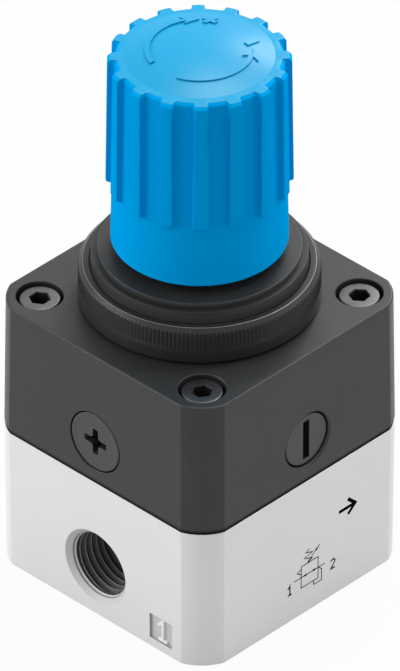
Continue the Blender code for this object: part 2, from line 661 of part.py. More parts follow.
    passages = bmesh.new()
    pocket_top = HOUSING_BOTTOM + PASSAGE_SEAL_WIRE + GAP
    passage = [
        (0, HOUSING_BOTTOM - GAP),
        (PASSAGE_POCKET_RADIUS, HOUSING_BOTTOM - GAP),
        (PASSAGE_POCKET_RADIUS, pocket_top),
        (GAUGE_PASSAGE_RADIUS, pocket_top),
        (GAUGE_PASSAGE_RADIUS, PLUG_HEIGHT),
        (0, PLUG_HEIGHT),
    ]
    for x, y in ((-GAUGE_PASSAGE_OFFSET, 0), (0, -GAUGE_PASSAGE_OFFSET)):
        spin_profile(passages, passage, 16, Matrix.Translation((x, y, 0)))
    cut(housing, place("cut_gauge_passages", finish_mesh(passages, "cut_gauge_passages")))
    return housing


def plug_face():
    """Distance of the drafted housing side from the middle, at the plugs' height."""
    return HALF - HOUSING_DRAFT * (PLUG_HEIGHT - HOUSING_BOTTOM) / HOUSING_HEIGHT


# Screws, plugs and seals
def make_screws(finish):
    top = HOUSING_TOP - SCREW_SUNK
    head = top - SCREW_HEAD_HEIGHT
    edge = GAP
    profile = [
        (0, BASE_HEIGHT - SCREW_BITE),
        (SCREW_THREAD_RADIUS - edge, BASE_HEIGHT - SCREW_BITE),
        (SCREW_THREAD_RADIUS, BASE_HEIGHT - SCREW_BITE + edge),
        (SCREW_THREAD_RADIUS, head),
        (SCREW_HEAD_RADIUS, head),
        (SCREW_HEAD_RADIUS, top - edge),
        (SCREW_HEAD_RADIUS - edge, top),
        (0, top),
    ]
    local = [(radius, height - top) for radius, height in profile]
    socket = place("cut_socket", extruded("cut_socket", hexagon(SCREW_SOCKET_ACROSS),
                                          -SCREW_SOCKET_DEPTH, GAP))
    mesh = turned("housing_screw", local, SMALL_COUNT)
    mesh.materials.append(finish)
    for i, (x, y) in enumerate(four_corners(), start=1):
        screw = place(f"housing_screw_{i}", mesh, location=(x, y, top))
        tool = socket if i == 1 else place(f"cut_socket_{i}", socket.data)
        tool.location = screw.location
        cut(screw, tool)


def make_cross_plug(metal, rubber):
    face = plug_face()
    seat = (-face, 0, PLUG_HEIGHT)
    turn = (0, -math.pi / 2, 0)
    edge = GAP
    plug = place("cross_recess_plug", turned("cross_recess_plug", [
        (0, -CROSS_PLUG_LENGTH),
        (PLUG_THREAD_RADIUS, -CROSS_PLUG_LENGTH),
        (PLUG_THREAD_RADIUS, -CROSS_PLUG_FLANGE),
        (CROSS_PLUG_RADIUS, -CROSS_PLUG_FLANGE),
        (CROSS_PLUG_RADIUS, -edge),
        (CROSS_PLUG_RADIUS - edge, -edge / 3),
        (0, -edge / 3),
    ], MEDIUM_COUNT), metal, seat, turn)
    arm = CROSS_ARM / 2
    reach = CROSS_SIZE / 2
    outline = []
    for quarter in range(4):
        angle = quarter * math.pi / 2
        for x, y in ((reach, -arm), (reach, arm), (arm * 1.6, arm * 1.6)):
            outline.append((x * math.cos(angle) - y * math.sin(angle),
                            x * math.sin(angle) + y * math.cos(angle)))
    cross = bmesh.new()
    shrink = 0.45
    deep = [(x * shrink, y * shrink, -CROSS_DEPTH) for x, y in outline]
    wide = [(x, y, 0) for x, y in outline]
    above = [(x, y, edge) for x, y in outline]
    add_loops(cross, [deep, wide, above])
    cut(plug, place("cut_cross", finish_mesh(cross, "cut_cross"), None, seat, turn))
    low = -CROSS_PLUG_FLANGE - GAP - PLUG_SEAL_THICKNESS
    place("cross_plug_seal", turned("cross_plug_seal", ring_profile(
        PLUG_THREAD_RADIUS + GAP, CROSS_PLUG_RADIUS, low, -CROSS_PLUG_FLANGE - GAP)),
        rubber, seat, turn)


def make_slot_plug(metal, rubber):
    face = plug_face() - SLOT_PLUG_SUNK
    seat = (0, -face, PLUG_HEIGHT)
    turn = (math.pi / 2, 0, 0)
    edge = GAP
    plug = place("slot_plug", turned("slot_plug", [
        (0, -SLOT_PLUG_LENGTH),
        (SLOT_PLUG_RADIUS - edge, -SLOT_PLUG_LENGTH),
        (SLOT_PLUG_RADIUS, -SLOT_PLUG_LENGTH + edge),
        (SLOT_PLUG_RADIUS, -edge),
        (SLOT_PLUG_RADIUS - edge, 0),
        (0, 0),
    ], MEDIUM_COUNT), metal, seat, turn)
    x = SLOT_WIDTH / 2
    y = SLOT_LENGTH / 2
    outline = [(-x, -y), (x, -y), (x, y), (-x, y)]
    cut(plug, place("cut_slot", extruded("cut_slot", outline, -SLOT_DEPTH, GAP), None, seat, turn))
    low = -SLOT_PLUG_LENGTH - GAP - PLUG_SEAL_THICKNESS
    place("slot_plug_seal", turned("slot_plug_seal", ring_profile(
        SLOT_PLUG_RADIUS - PLUG_SEAL_THICKNESS, SLOT_PLUG_RADIUS, low, -SLOT_PLUG_LENGTH - GAP)),
        rubber, seat, turn)


def make_passage_seals(rubber):
    height = HOUSING_BOTTOM + PASSAGE_SEAL_WIRE / 2
    mesh = turned("passage_seal", round_ring(PASSAGE_SEAL_RADIUS, PASSAGE_SEAL_WIRE, 0, 6), 16)
    mesh.materials.append(rubber)
    place("inlet_passage_seal", mesh, location=(-GAUGE_PASSAGE_OFFSET, 0, height))
    place("outlet_passage_seal", mesh, location=(0, -GAUGE_PASSAGE_OFFSET, height))


# Diaphragm with its plates and relief stud
def make_diaphragm(rubber):
    hole = STUD_RADIUS + GAP
    middle = (FOLD_INNER_RADIUS + FOLD_OUTER_RADIUS) / 2
    half = DIAPHRAGM_FOLD_WIDTH / 2
    thickness = DIAPHRAGM_THICKNESS / 2
    steps = 4
    fold = []
    for i in range(steps + 1):
        angle = math.pi * i / steps
        fold.append((middle - half * math.cos(angle), DIAPHRAGM_FOLD_DEPTH * math.sin(angle)))
    lower = [(hole, DIAPHRAGM_BOTTOM)]
    lower += [(radius, DIAPHRAGM_BOTTOM + thickness - dip) for radius, dip in fold]
    lower += [(FOLD_OUTER_RADIUS + thickness, DIAPHRAGM_BOTTOM), (RIM_RADIUS, DIAPHRAGM_BOTTOM)]
    upper = [(RIM_RADIUS, DIAPHRAGM_TOP), (FOLD_OUTER_RADIUS + thickness, DIAPHRAGM_TOP)]
    upper += [(radius, DIAPHRAGM_TOP - dip) for radius, dip in reversed(fold)]
    upper += [(hole, DIAPHRAGM_TOP)]
    lower[1] = (lower[1][0], DIAPHRAGM_BOTTOM)
    lower[steps + 1] = (lower[steps + 1][0], DIAPHRAGM_BOTTOM)
    place("diaphragm", turned("diaphragm", lower + upper, MEDIUM_COUNT), rubber)


def make_diaphragm_plates(steel, brass):
    hole = STUD_RADIUS + GAP
    edge = DIAPHRAGM_PLATE_THICKNESS / 2
    place("diaphragm_plate", turned("diaphragm_plate", [
        (hole, DIAPHRAGM_PLATE_BOTTOM),
        (PLATE_RADIUS - edge, DIAPHRAGM_PLATE_BOTTOM),
        (PLATE_RADIUS, DIAPHRAGM_PLATE_BOTTOM + edge),
        (PLATE_RADIUS, DIAPHRAGM_PLATE_TOP),
        (hole, DIAPHRAGM_PLATE_TOP),
    ]), steel)
    nut_corner = STUD_NUT_ACROSS / math.sqrt(3) + GAP
    boss_top = SPRING_PLATE_TOP + STUD_NUT_HEIGHT / 2
    place("spring_plate", turned("spring_plate", [
        (hole, SPRING_PLATE_BOTTOM),
        (PLATE_RADIUS, SPRING_PLATE_BOTTOM),
        (PLATE_RADIUS, SPRING_PLATE_TOP),
        (SPRING_CENTRING_RADIUS, SPRING_PLATE_TOP),
        (SPRING_CENTRING_RADIUS, boss_top),
        (nut_corner, boss_top),
        (nut_corner, SPRING_PLATE_TOP),
        (hole, SPRING_PLATE_TOP),
    ]), steel)
    place("relief_stud", turned("relief_stud", [
        (STUD_BORE_RADIUS, STUD_BOTTOM),
        (STUD_FLANGE_RADIUS, STUD_BOTTOM),
        (STUD_FLANGE_RADIUS, STUD_FLANGE_TOP),
        (STUD_RADIUS, STUD_FLANGE_TOP),
        (STUD_RADIUS, STUD_TOP),
        (STUD_BORE_RADIUS, STUD_TOP),
    ], SMALL_COUNT), brass)
    nut = place("relief_stud_nut", extruded("relief_stud_nut", hexagon(STUD_NUT_ACROSS),
                                            STUD_NUT_BOTTOM, STUD_NUT_TOP), brass)
    cut(nut, place("cut_stud_nut", turned("cut_stud_nut", cylinder_profile(
        STUD_RADIUS + PLAY, STUD_NUT_BOTTOM - GAP, STUD_NUT_TOP + GAP), SMALL_COUNT)))


# Valve with its seat, guide and spring
def make_valve(brass, rubber, spring_steel):
    edge = GAP
    seal_height = SEAT_TOP - SEAT_HEIGHT / 2
    groove_half = SEAT_SEAL_WIRE / 2 + GAP / 2
    groove_radius = GUIDE_RADIUS - SEAT_SEAL_WIRE - GAP / 2
    wide_bore = GUIDE_BORE_RADIUS - edge
    place("valve_seat", turned("valve_seat", [
        (SEAT_BORE_RADIUS, SEAT_BOTTOM - SEAT_LIP_HEIGHT),
        (SEAT_BORE_RADIUS + SEAT_LIP_WIDTH, SEAT_BOTTOM - SEAT_LIP_HEIGHT),
        (SEAT_BORE_RADIUS + SEAT_LIP_WIDTH, SEAT_BOTTOM),
        (GUIDE_RADIUS, SEAT_BOTTOM),
        (GUIDE_RADIUS, seal_height - groove_half),
        (groove_radius, seal_height - groove_half),
        (groove_radius, seal_height + groove_half),
        (GUIDE_RADIUS, seal_height + groove_half),
        (GUIDE_RADIUS, SEAT_TOP - edge),
        (GUIDE_RADIUS - edge, SEAT_TOP),
        (wide_bore, SEAT_TOP),
        (SEAT_BORE_RADIUS, SEAT_BOTTOM + SEAT_HEIGHT / 3),
    ]), brass)
    place("valve_seat_seal", turned("valve_seat_seal", round_ring(
        GUIDE_RADIUS - SEAT_SEAL_WIRE / 2, SEAT_SEAL_WIRE, seal_height, 6)), rubber)

    guide = place("valve_guide", turned("valve_guide", [
        (VALVE_TAIL_RADIUS + GAP, GUIDE_BOTTOM),
        (GUIDE_RADIUS, GUIDE_BOTTOM),
        (GUIDE_RADIUS, GUIDE_TOP),
        (GUIDE_BORE_RADIUS, GUIDE_TOP),
        (GUIDE_BORE_RADIUS, GUIDE_BOTTOM + GUIDE_FLOOR),
        (VALVE_TAIL_RADIUS + GAP, GUIDE_BOTTOM + GUIDE_FLOOR),
    ]), brass)
    window = cylinder_profile(FLOW_PASSAGE_RADIUS - GAP, -GUIDE_RADIUS - GAP, GUIDE_RADIUS + GAP)
    cut(guide, place("cut_guide_window", turned("cut_guide_window", window, 16),
                     location=(0, 0, PORT_HEIGHT), rotation=(0, math.pi / 2, 0)))

    tail_bottom = VALVE_BORE_FLOOR + VALVE_STROKE + GAP
    place("valve_stem", turned("valve_stem", [
        (0, tail_bottom),
        (VALVE_TAIL_RADIUS - edge, tail_bottom),
        (VALVE_TAIL_RADIUS, tail_bottom + edge),
        (VALVE_TAIL_RADIUS, VALVE_PLATE_BOTTOM),
        (VALVE_DISC_RADIUS, VALVE_PLATE_BOTTOM),
        (VALVE_DISC_RADIUS, VALVE_PLATE_TOP),
        (VALVE_PIN_RADIUS, VALVE_PLATE_TOP),
        (VALVE_PIN_RADIUS, VALVE_PIN_TOP - VALVE_PIN_RADIUS / 2),
        (VALVE_PIN_RADIUS / 2, VALVE_PIN_TOP),
        (0, VALVE_PIN_TOP),
    ], SMALL_COUNT), brass)
    place("valve_disc", turned("valve_disc", ring_profile(
        VALVE_PIN_RADIUS + GAP, VALVE_DISC_RADIUS, VALVE_DISC_BOTTOM, VALVE_DISC_TOP), SMALL_COUNT), rubber)
    coil("valve_spring", VALVE_SPRING_RADIUS, VALVE_SPRING_WIRE, VALVE_SPRING_BOTTOM,
         VALVE_SPRING_TOP, VALVE_SPRING_TURNS, spring_steel, 10)


# Panel nut
def make_panel_nut(finish):
    low = NUT_BOTTOM
    high = NUT_BOTTOM + NUT_HEIGHT
    inner = NECK_RADIUS + GAP
    body = turned("panel_nut", [
        (inner, low + NUT_BOTTOM_CHAMFER),
        (inner + NUT_BOTTOM_CHAMFER, low),
        (NUT_RADIUS - NUT_BOTTOM_CHAMFER, low),
        (NUT_RADIUS, low + NUT_BOTTOM_CHAMFER),
        (NUT_RADIUS, high - NUT_CHAMFER),
        (NUT_RADIUS - NUT_CHAMFER, high),
        (inner + NUT_BOTTOM_CHAMFER, high),
        (inner, high - NUT_BOTTOM_CHAMFER),
    ], ROUND_COUNT)
    place("panel_nut", body, finish)


# Spindle, its washer and clip, and the spring nut
def make_spindle(steel, brass, spring_steel):
    joint = bpy.data.objects.new("knob_axis", None)
    bpy.context.collection.objects.link(joint)
    groove = SPINDLE_RADIUS - CLIP_GROOVE_DEPTH
    edge = SPINDLE_PITCH / 2
    spindle = place("adjusting_spindle", turned("adjusting_spindle", [
        (0, SPINDLE_BOTTOM),
        (SPINDLE_RADIUS - edge, SPINDLE_BOTTOM),
        (SPINDLE_RADIUS, SPINDLE_BOTTOM + edge),
        (SPINDLE_RADIUS, COLLAR_BOTTOM),
        (SPINDLE_COLLAR_RADIUS, COLLAR_BOTTOM),
        (SPINDLE_COLLAR_RADIUS, COLLAR_TOP),
        (SPINDLE_RADIUS, COLLAR_TOP),
        (SPINDLE_RADIUS, TUBE_TOP + GAP / 2),
        (groove, TUBE_TOP + GAP / 2),
        (groove, CLIP_TOP + GAP / 2),
        (SPINDLE_RADIUS, CLIP_TOP + GAP / 2),
        (SPINDLE_RADIUS, SPINDLE_HEX_BOTTOM),
        (0, SPINDLE_HEX_BOTTOM),
    ], SMALL_COUNT), steel, parent=joint)
    head = extruded("spindle_head", hexagon(SPINDLE_HEX_ACROSS), SPINDLE_HEX_BOTTOM - GAP / 3,
                    SPINDLE_TOP)
    join(spindle, place("spindle_head", head))

    place("thrust_washer", turned("thrust_washer", ring_profile(
        SPINDLE_RADIUS + PLAY, WASHER_RADIUS, WASHER_TOP - WASHER_THICKNESS, WASHER_TOP), SMALL_COUNT),
        brass)
    place("spindle_clip", clip_mesh(groove + GAP), spring_steel, parent=joint)
    return joint


def clip_mesh(inner):
    """An open retaining ring, with its opening towards +X."""
    steps = 20
    sweep = 2 * math.pi - CLIP_OPENING
    angles = [CLIP_OPENING / 2 + sweep * i / steps for i in range(steps + 1)]
    outline = [(CLIP_RADIUS * math.cos(a), CLIP_RADIUS * math.sin(a)) for a in angles]
    outline += [(inner * math.cos(a), inner * math.sin(a)) for a in reversed(angles)]
    return extruded("spindle_clip", outline, CLIP_BOTTOM, CLIP_TOP)


def make_spring_nut(brass):
    rim = KEY_RADIUS + KEY_HEIGHT - GAP
    nut = place("spring_nut", turned("spring_nut", [
        (SPINDLE_RADIUS + PLAY, SPRING_NUT_BOTTOM),
        (SPRING_CENTRING_RADIUS, SPRING_NUT_BOTTOM),
        (SPRING_CENTRING_RADIUS, SPRING_NUT_SEAT),
        (rim, SPRING_NUT_SEAT),
        (rim, SPRING_NUT_TOP),
        (SPINDLE_RADIUS + PLAY, SPRING_NUT_TOP),
    ]), brass)
    notches = bmesh.new()
    width = KEY_WIDTH / 2 + GAP
    for side in (1, -1):
        near = side * (KEY_RADIUS - GAP)
        far = side * (TUBE_BORE_RADIUS + GAP)
        outline = [(near, -width), (far, -width), (far, width), (near, width)]
        extrude_outline(notches, outline, SPRING_NUT_SEAT - GAP, SPRING_NUT_TOP + GAP)
    cut(nut, place("cut_key_slots", finish_mesh(notches, "cut_key_slots")))


# Knob
def knob_outline(height, base_radius, rib_width, rib_height):
    """One level of the knob's outside: short flats between ribs, or plain where ribs are nil."""
    pitch = 2 * math.pi / RIB_COUNT
    if rib_width:
        crest = (rib_width / 2 - RIB_SLOPE) / base_radius
        foot = rib_width / 2 / base_radius
    else:
        crest = pitch / 8
        foot = pitch / 4
    loop = []
    for i in range(RIB_COUNT):
        middle = math.radians(-45) + i * pitch
        rib = [(-foot, 0), (-crest, rib_height), (crest, rib_height), (foot, 0), (pitch / 2, 0)]
        for turn, extra in rib:
            radius = base_radius + extra
            loop.append((radius * math.cos(middle + turn), radius * math.sin(middle + turn), height))
    return loop


def knob_radius(height):
    share = height / KNOB_HEIGHT
    return KNOB_SKIRT_RADIUS + (KNOB_TOP_RADIUS - KNOB_SKIRT_RADIUS) * share


def make_knob(finish, joint):
    top = KNOB_HEIGHT
    rib_foot = KNOB_SKIRT_HEIGHT + RIB_FOOT_CHAMFER
    bore_top = KNOB_ROOF_UNDERSIDE - KNOB_BOTTOM
    levels = [
        (0, knob_radius(0) - KNOB_RIM_EDGE, RIB_WIDTH, 0),
        (KNOB_RIM_EDGE, knob_radius(0), RIB_WIDTH, 0),
        (KNOB_SKIRT_HEIGHT, knob_radius(KNOB_SKIRT_HEIGHT), RIB_WIDTH, 0),
        (rib_foot, knob_radius(rib_foot), RIB_WIDTH, RIB_HEIGHT),
        (top - KNOB_EDGE, knob_radius(top - KNOB_EDGE), RIB_WIDTH_AT_TOP, RIB_HEIGHT_AT_TOP),
        (top, knob_radius(top) - KNOB_EDGE, RIB_WIDTH_AT_TOP, RIB_HEIGHT_AT_TOP),
    ]
    for share in (1.0, 0.84, 0.66, 0.48, 0.3, 0.12):
        rise = KNOB_DOME_HEIGHT * (1 - share ** 2)
        levels.append((top + rise, KNOB_DOME_RADIUS * share, 0, 0))
    knob = place("adjusting_knob", lofted("adjusting_knob", [
        knob_outline(*level) for level in levels
    ]), finish, location=(0, 0, KNOB_BOTTOM), parent=joint)

    ridge = DETENT_HEIGHT - KNOB_BOTTOM + DETENT_WIRE / 2 + GAP
    hub_radius = SPINDLE_HEX_ACROSS / math.sqrt(3) + PLAY + HUB_WALL
    hub_bottom = KNOB_HUB_BOTTOM - KNOB_BOTTOM
    rim = tooth_ring(TUBE_RADIUS + GAP, LOCK_ROOT_RADIUS, TOOTH_COUNT, 1 - tooth_share(), 0)
    cut(knob, place("cut_knob_rim", extruded("cut_knob_rim", rim, -GAP, KNOB_TOOTH_LENGTH + GAP),
                    None, (0, 0, KNOB_BOTTOM), parent=joint))
    cut(knob, place("cut_knob_inside", turned("cut_knob_inside", [
        (0, KNOB_TOOTH_LENGTH),
        (LOCK_ROOT_RADIUS + PLAY, KNOB_TOOTH_LENGTH),
        (KNOB_BORE_RADIUS, KNOB_TOOTH_LENGTH + TOOTH_HEIGHT),
        (KNOB_BORE_RADIUS, ridge),
        (KNOB_BORE_RADIUS - DETENT_RIDGE / 2, ridge + DETENT_RIDGE),
        (KNOB_BORE_RADIUS - DETENT_RIDGE / 2, ridge + 2 * DETENT_RIDGE),
        (KNOB_BORE_RADIUS, ridge + 3 * DETENT_RIDGE),
        (KNOB_BORE_RADIUS, bore_top),
        (hub_radius, bore_top),
        (hub_radius, hub_bottom),
        (0, hub_bottom),
    ]), None, (0, 0, KNOB_BOTTOM), parent=joint))
    socket = hexagon(SPINDLE_HEX_ACROSS + 2 * PLAY)
    cut(knob, place("cut_knob_socket", extruded("cut_knob_socket", socket, hub_bottom - GAP,
                                                bore_top), None, (0, 0, KNOB_BOTTOM), parent=joint))


def make_detent_ring(spring_steel):
    place("knob_detent_ring", turned("knob_detent_ring", round_ring(
        DETENT_RADIUS, DETENT_WIRE, DETENT_HEIGHT, 6), MEDIUM_COUNT), spring_steel)


def build():
    clear_scene()
    light_metal = material("light die-cast metal", (0.74, 0.75, 0.76), 0.45)
    dark_metal = material("dark coated metal", (0.075, 0.075, 0.078), 0.5)
    blue = material("blue plastic", (0.0, 0.30, 0.62), 0.35)
    nut_black = material("black nut", (0.045, 0.045, 0.047), 0.4)
    screw_steel = material("dark screw steel", (0.16, 0.16, 0.17), 0.35, 1.0)
    plug_metal = material("plug metal", (0.10, 0.10, 0.10), 0.45, 0.6)
    brass = material("brass", (0.70, 0.52, 0.24), 0.3, 1.0)
    steel = material("plated steel", (0.58, 0.58, 0.56), 0.3, 1.0)
    spring_steel = material("spring steel", (0.35, 0.36, 0.37), 0.35, 1.0)
    rubber = material("black rubber", (0.02, 0.02, 0.02), 0.8)

    make_base(light_metal)
    make_housing(dark_metal)
    make_screws(screw_steel)
    make_cross_plug(plug_metal, rubber)
    make_slot_plug(plug_metal, rubber)
    make_passage_seals(rubber)
    make_diaphragm(rubber)
    make_diaphragm_plates(steel, brass)
    make_valve(brass, rubber, spring_steel)
    make_panel_nut(nut_black)
    joint = make_spindle(steel, brass, spring_steel)
    make_spring_nut(brass)
    make_knob(blue, joint)
    make_detent_ring(spring_steel)
    coil("range_spring", RANGE_SPRING_RADIUS, RANGE_SPRING_WIRE, SPRING_PLATE_TOP + GAP,
         SPRING_NUT_SEAT - GAP, RANGE_SPRING_TURNS, spring_steel)


build()
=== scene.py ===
# Precision pressure regulator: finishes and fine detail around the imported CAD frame.
# Metres, +Z up, origin under the middle of the base. Port 1 faces -X, the schematic side faces -Y.

import math

import bmesh
import bpy
from bpy.props import FloatProperty, FloatVectorProperty, IntProperty, PointerProperty
from bpy.types import Operator, Panel, PropertyGroup
from mathutils import Matrix, Vector


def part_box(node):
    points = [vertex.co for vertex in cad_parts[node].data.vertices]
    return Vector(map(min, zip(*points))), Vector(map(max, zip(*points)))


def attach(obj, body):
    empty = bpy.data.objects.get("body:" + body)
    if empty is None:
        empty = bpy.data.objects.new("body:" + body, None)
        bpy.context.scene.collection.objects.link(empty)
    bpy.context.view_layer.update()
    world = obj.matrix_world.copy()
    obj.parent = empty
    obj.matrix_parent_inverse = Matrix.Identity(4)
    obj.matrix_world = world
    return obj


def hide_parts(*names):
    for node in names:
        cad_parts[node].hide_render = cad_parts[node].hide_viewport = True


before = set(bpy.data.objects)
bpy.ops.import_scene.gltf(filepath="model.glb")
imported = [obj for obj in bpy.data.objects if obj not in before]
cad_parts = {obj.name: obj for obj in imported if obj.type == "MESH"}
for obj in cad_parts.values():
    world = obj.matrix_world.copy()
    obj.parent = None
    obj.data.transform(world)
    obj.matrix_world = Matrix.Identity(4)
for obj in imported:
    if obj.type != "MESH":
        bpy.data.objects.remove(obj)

bl_info = {
    "name": "Precision pressure regulator",
    "version": (1, 0, 0),
    "blender": (4, 5, 0),
    "location": "3D View > Sidebar > Regulator",
    "description": "Builds the finished surfaces of a precision pressure regulator",
    "category": "Object",
}

MM = 0.001
WELD = 0.002 * MM
GAP = 0.3 * MM
PUSH_TRAVEL = 1.5 * MM
PHOTO_HEIGHT = 671
SENSOR = 36.0

# Sides of the turned shapes, from the finest to the plainest
NECK_SIDES = 160
FINE_SIDES = 96
PLUG_SIDES = 72
PLAIN_SIDES = 64
COUNTERBORE_SIDES = 48
PASSAGE_SIDES = 32
HOLE_SIDES = 24

BASE_LOW, BASE_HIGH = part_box("base_body")
HOUSING_LOW, HOUSING_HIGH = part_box("upper_housing")
NUT_LOW, NUT_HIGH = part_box("panel_nut")
KNOB_LOW, KNOB_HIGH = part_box("adjusting_knob")
SCREW_LOW, SCREW_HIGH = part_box("housing_screw_1")
CROSS_LOW, CROSS_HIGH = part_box("cross_recess_plug")
SLOT_LOW, SLOT_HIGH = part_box("slot_plug")


# Sizes and colours that a user can change
def length(name, default, description):
    return FloatProperty(name=name, description=description, default=default, min=0.0,
                         unit="LENGTH", precision=6)


def colour(name, default, description):
    return FloatVectorProperty(name=name, description=description, default=default, size=3,
                               min=0.0, max=1.0, subtype="COLOR")


class BodySizes(PropertyGroup):
    """Die-cast base and upper housing."""

    half_width: length("Half width", BASE_HIGH.x, "Half of the block's side at the parting line")
    corner_setback: length("Corner setback", 5.1 * MM, "How far a cut corner reaches along a side")
    corner_radius: length("Corner radius", 8.7 * MM, "Radius of the cut corner's shallow arc")
    base_height: length("Base height", BASE_HIGH.z, "Height of the light casting")
    base_draft: length("Base draft", 0.14 * MM, "How much narrower the base is at its foot")
    housing_bottom: length("Housing foot", HOUSING_LOW.z, "Height of the dark casting's foot")
    housing_height: length("Housing height", 25.3 * MM, "Height of the dark casting's block")
    housing_draft: length("Housing draft", 0.3 * MM, "How much narrower the housing is at its top")
    parting_bevel: length("Parting bevel", 0.56 * MM, "Height of the bevel above the parting line")
    parting_inset: length("Parting inset", 0.2 * MM, "Depth of the bevel above the parting line")
    edge: length("Edge rounding", 0.3 * MM, "Radius of the castings' outer edges")


class PortSizes(PropertyGroup):
    """Threaded ports and their number recesses."""

    height: length("Port height", 9.8 * MM, "Height of the port axes")
    crest: length("Thread crest", 5.72 * MM, "Inner radius of the G1/4 thread")
    root: length("Thread root", 6.55 * MM, "Outer radius of the G1/4 thread")
    pitch: length("Thread pitch", 1.337 * MM, "Pitch of the G1/4 thread")
    chamfer: length("Chamfer radius", 7.05 * MM, "Outer radius of the port's chamfer")
    depth: length("Thread depth", 13.0 * MM, "Depth of the threaded bore")
    run_in: length("Run-in", 1.5 * MM, "Depth of the smooth mouth before the thread")
    number_across: length("Number offset", 15.15 * MM, "Middle of the number recess, across")
    number_width: length("Recess width", 5.2 * MM, "Width of the number recess")
    number_low: length("Recess foot", 1.95 * MM, "Height of the number recess's foot")
    number_height: length("Recess height", 5.0 * MM, "Height of the number recess")
    number_depth: length("Recess depth", 0.4 * MM, "Depth of the number recess")


class NeckSizes(PropertyGroup):
    """Threaded neck, spring tube and panel nut."""

    radius: length("Neck radius", 18.0 * MM, "Outer radius of the M36 thread")
    root: length("Thread root", 17.1 * MM, "Root radius of the M36 thread")
    pitch: length("Thread pitch", 1.5 * MM, "Pitch of the M36 thread")
    height: length("Neck height", 9.2 * MM, "Height of the threaded neck")
    cap_radius: length("Cap radius", 16.95 * MM, "Radius of the neck's smooth cap")
    cap_step: length("Cap step", 1.05 * MM, "Height of the cap above the neck")
    nut_radius: length("Nut radius", NUT_HIGH.x, "Outer radius of the panel nut")
    nut_band: length("Smooth band", 2.5 * MM, "Height of the nut's smooth lower band")
    nut_chamfer: length("Nut chamfer", 0.8 * MM, "Chamfer of the nut's upper edge")
    knurl_depth: length("Knurl depth", 0.22 * MM, "Depth of the nut's straight knurl")
    knurl_count: IntProperty(name="Knurl count", description="Grooves around the nut",
                             default=180, min=12, max=400)


class KnobSizes(PropertyGroup):
    """Ribbed knob."""

    height: length("Rim height", 36.1 * MM, "Height of the knob up to its flat rim")
    skirt_radius: length("Skirt radius", 14.76 * MM, "Radius at the knob's foot")
    top_radius: length("Top radius", 14.0 * MM, "Radius between the ribs at the top")
    skirt_height: length("Skirt height", 11.5 * MM, "Height of the smooth skirt")
    rib_count: IntProperty(name="Ribs", description="Number of ribs", default=16, min=3, max=60)
    rib_width: length("Rib width", 2.7 * MM, "Width of a rib at its foot")
    rib_top_width: length("Rib width at top", 2.2 * MM, "Width of a rib at the top")
    rib_height: length("Rib height", 1.0 * MM, "Height of a rib at its foot")
    rib_top_height: length("Rib height at top", 1.15 * MM, "Height of a rib at the top")
    edge: length("Edge", 0.55 * MM, "Chamfer of the upper edge")
    dome_radius: length("Dome radius", 12.4 * MM, "Radius of the low dome on top")
    dome_height: length("Dome height", 2.0 * MM, "Height of the low dome on top")
    mark_height: length("Mark height", 0.3 * MM, "Height of the raised turning marks")


class FastenerSizes(PropertyGroup):
    """Screws and plugs."""

    screw_radius: length("Head radius", 3.5 * MM, "Radius of a screw's head")
    screw_head: length("Head height", 4.0 * MM, "Height of a screw's head")
    screw_thread: length("Thread radius", 1.9 * MM, "Radius of a screw's shank")
    socket: length("Socket", 3.0 * MM, "Width of the hexagon socket across its flats")
    counterbore: length("Counterbore", 4.0 * MM, "Radius of a screw's counterbore")
    cross_size: length("Cross size", 5.0 * MM, "Length of the cross recess's arms")
    cross_arm: length("Cross arm", 1.15 * MM, "Width of the cross recess's arms")
    slot_length: length("Slot length", 7.6 * MM, "Length of the plug's slot")
    slot_width: length("Slot width", 1.5 * MM, "Width of the plug's slot")


class FinishColours(PropertyGroup):
    """Colours of the finishes, as linear light."""

    light: colour("Light casting", (0.735, 0.745, 0.745), "Pale coat of the base")
    dark: colour("Dark casting", (0.024, 0.025, 0.024), "Dark coat of the housing")
    knob: colour("Knob", (0.0, 0.305, 0.70), "Blue of the knob's side")
    # Painted shade: the knob's top is given a darker blue than its side, offsetting the stronger
    # light on the top.
    knob_top_shade: colour("Knob top", (0.0, 0.262, 0.485), "Paler blue of the knob's polished top")
    nut: colour("Nut", (0.021, 0.022, 0.021), "Black of the panel nut")
    screw: colour("Screws", (0.105, 0.106, 0.105), "Dark steel of the screws")
    plug: colour("Plugs", (0.028, 0.029, 0.028), "Dark metal of the plugs")
    ink: colour("Print", (0.001, 0.001, 0.001), "Black of the printed marks")


class StageSettings(PropertyGroup):
    """Camera, lamps and floor."""

    azimuth: FloatProperty(name="Azimuth", description="Direction of the camera",
                           default=math.radians(-45.899), subtype="ANGLE")
    elevation: FloatProperty(name="Elevation", description="Height of the camera",
                             default=math.radians(35.945), subtype="ANGLE")
    distance: length("Distance", 2279.0 * MM, "Distance of the camera")
    focal: FloatProperty(name="Focal length", description="In pixels of the photograph's height",
                         default=13740.0, min=1.0)
    target: length("Target height", 44.42 * MM, "Height that the camera looks at")
    aside: length("Target aside", 0.06 * MM, "How far right of the axis the camera looks")


# Shader graphs
class Socket:
    """A node's output that takes part in expressions: each operator adds a Math node."""

    def __init__(self, finish, output):
        self.finish = finish
        self.output = output

    def math(self, operation, *values):
        inputs = dict(enumerate(values))
        return self.finish.add("ShaderNodeMath", {"operation": operation}, inputs)

    def __add__(self, other):
        return self.math("ADD", self, other)

    def __radd__(self, other):
        return self.math("ADD", other, self)

    def __sub__(self, other):
        return self.math("SUBTRACT", self, other)

    def __rsub__(self, other):
        return self.math("SUBTRACT", other, self)

    def __mul__(self, other):
        return self.math("MULTIPLY", self, other)

    def __rmul__(self, other):
        return self.math("MULTIPLY", other, self)


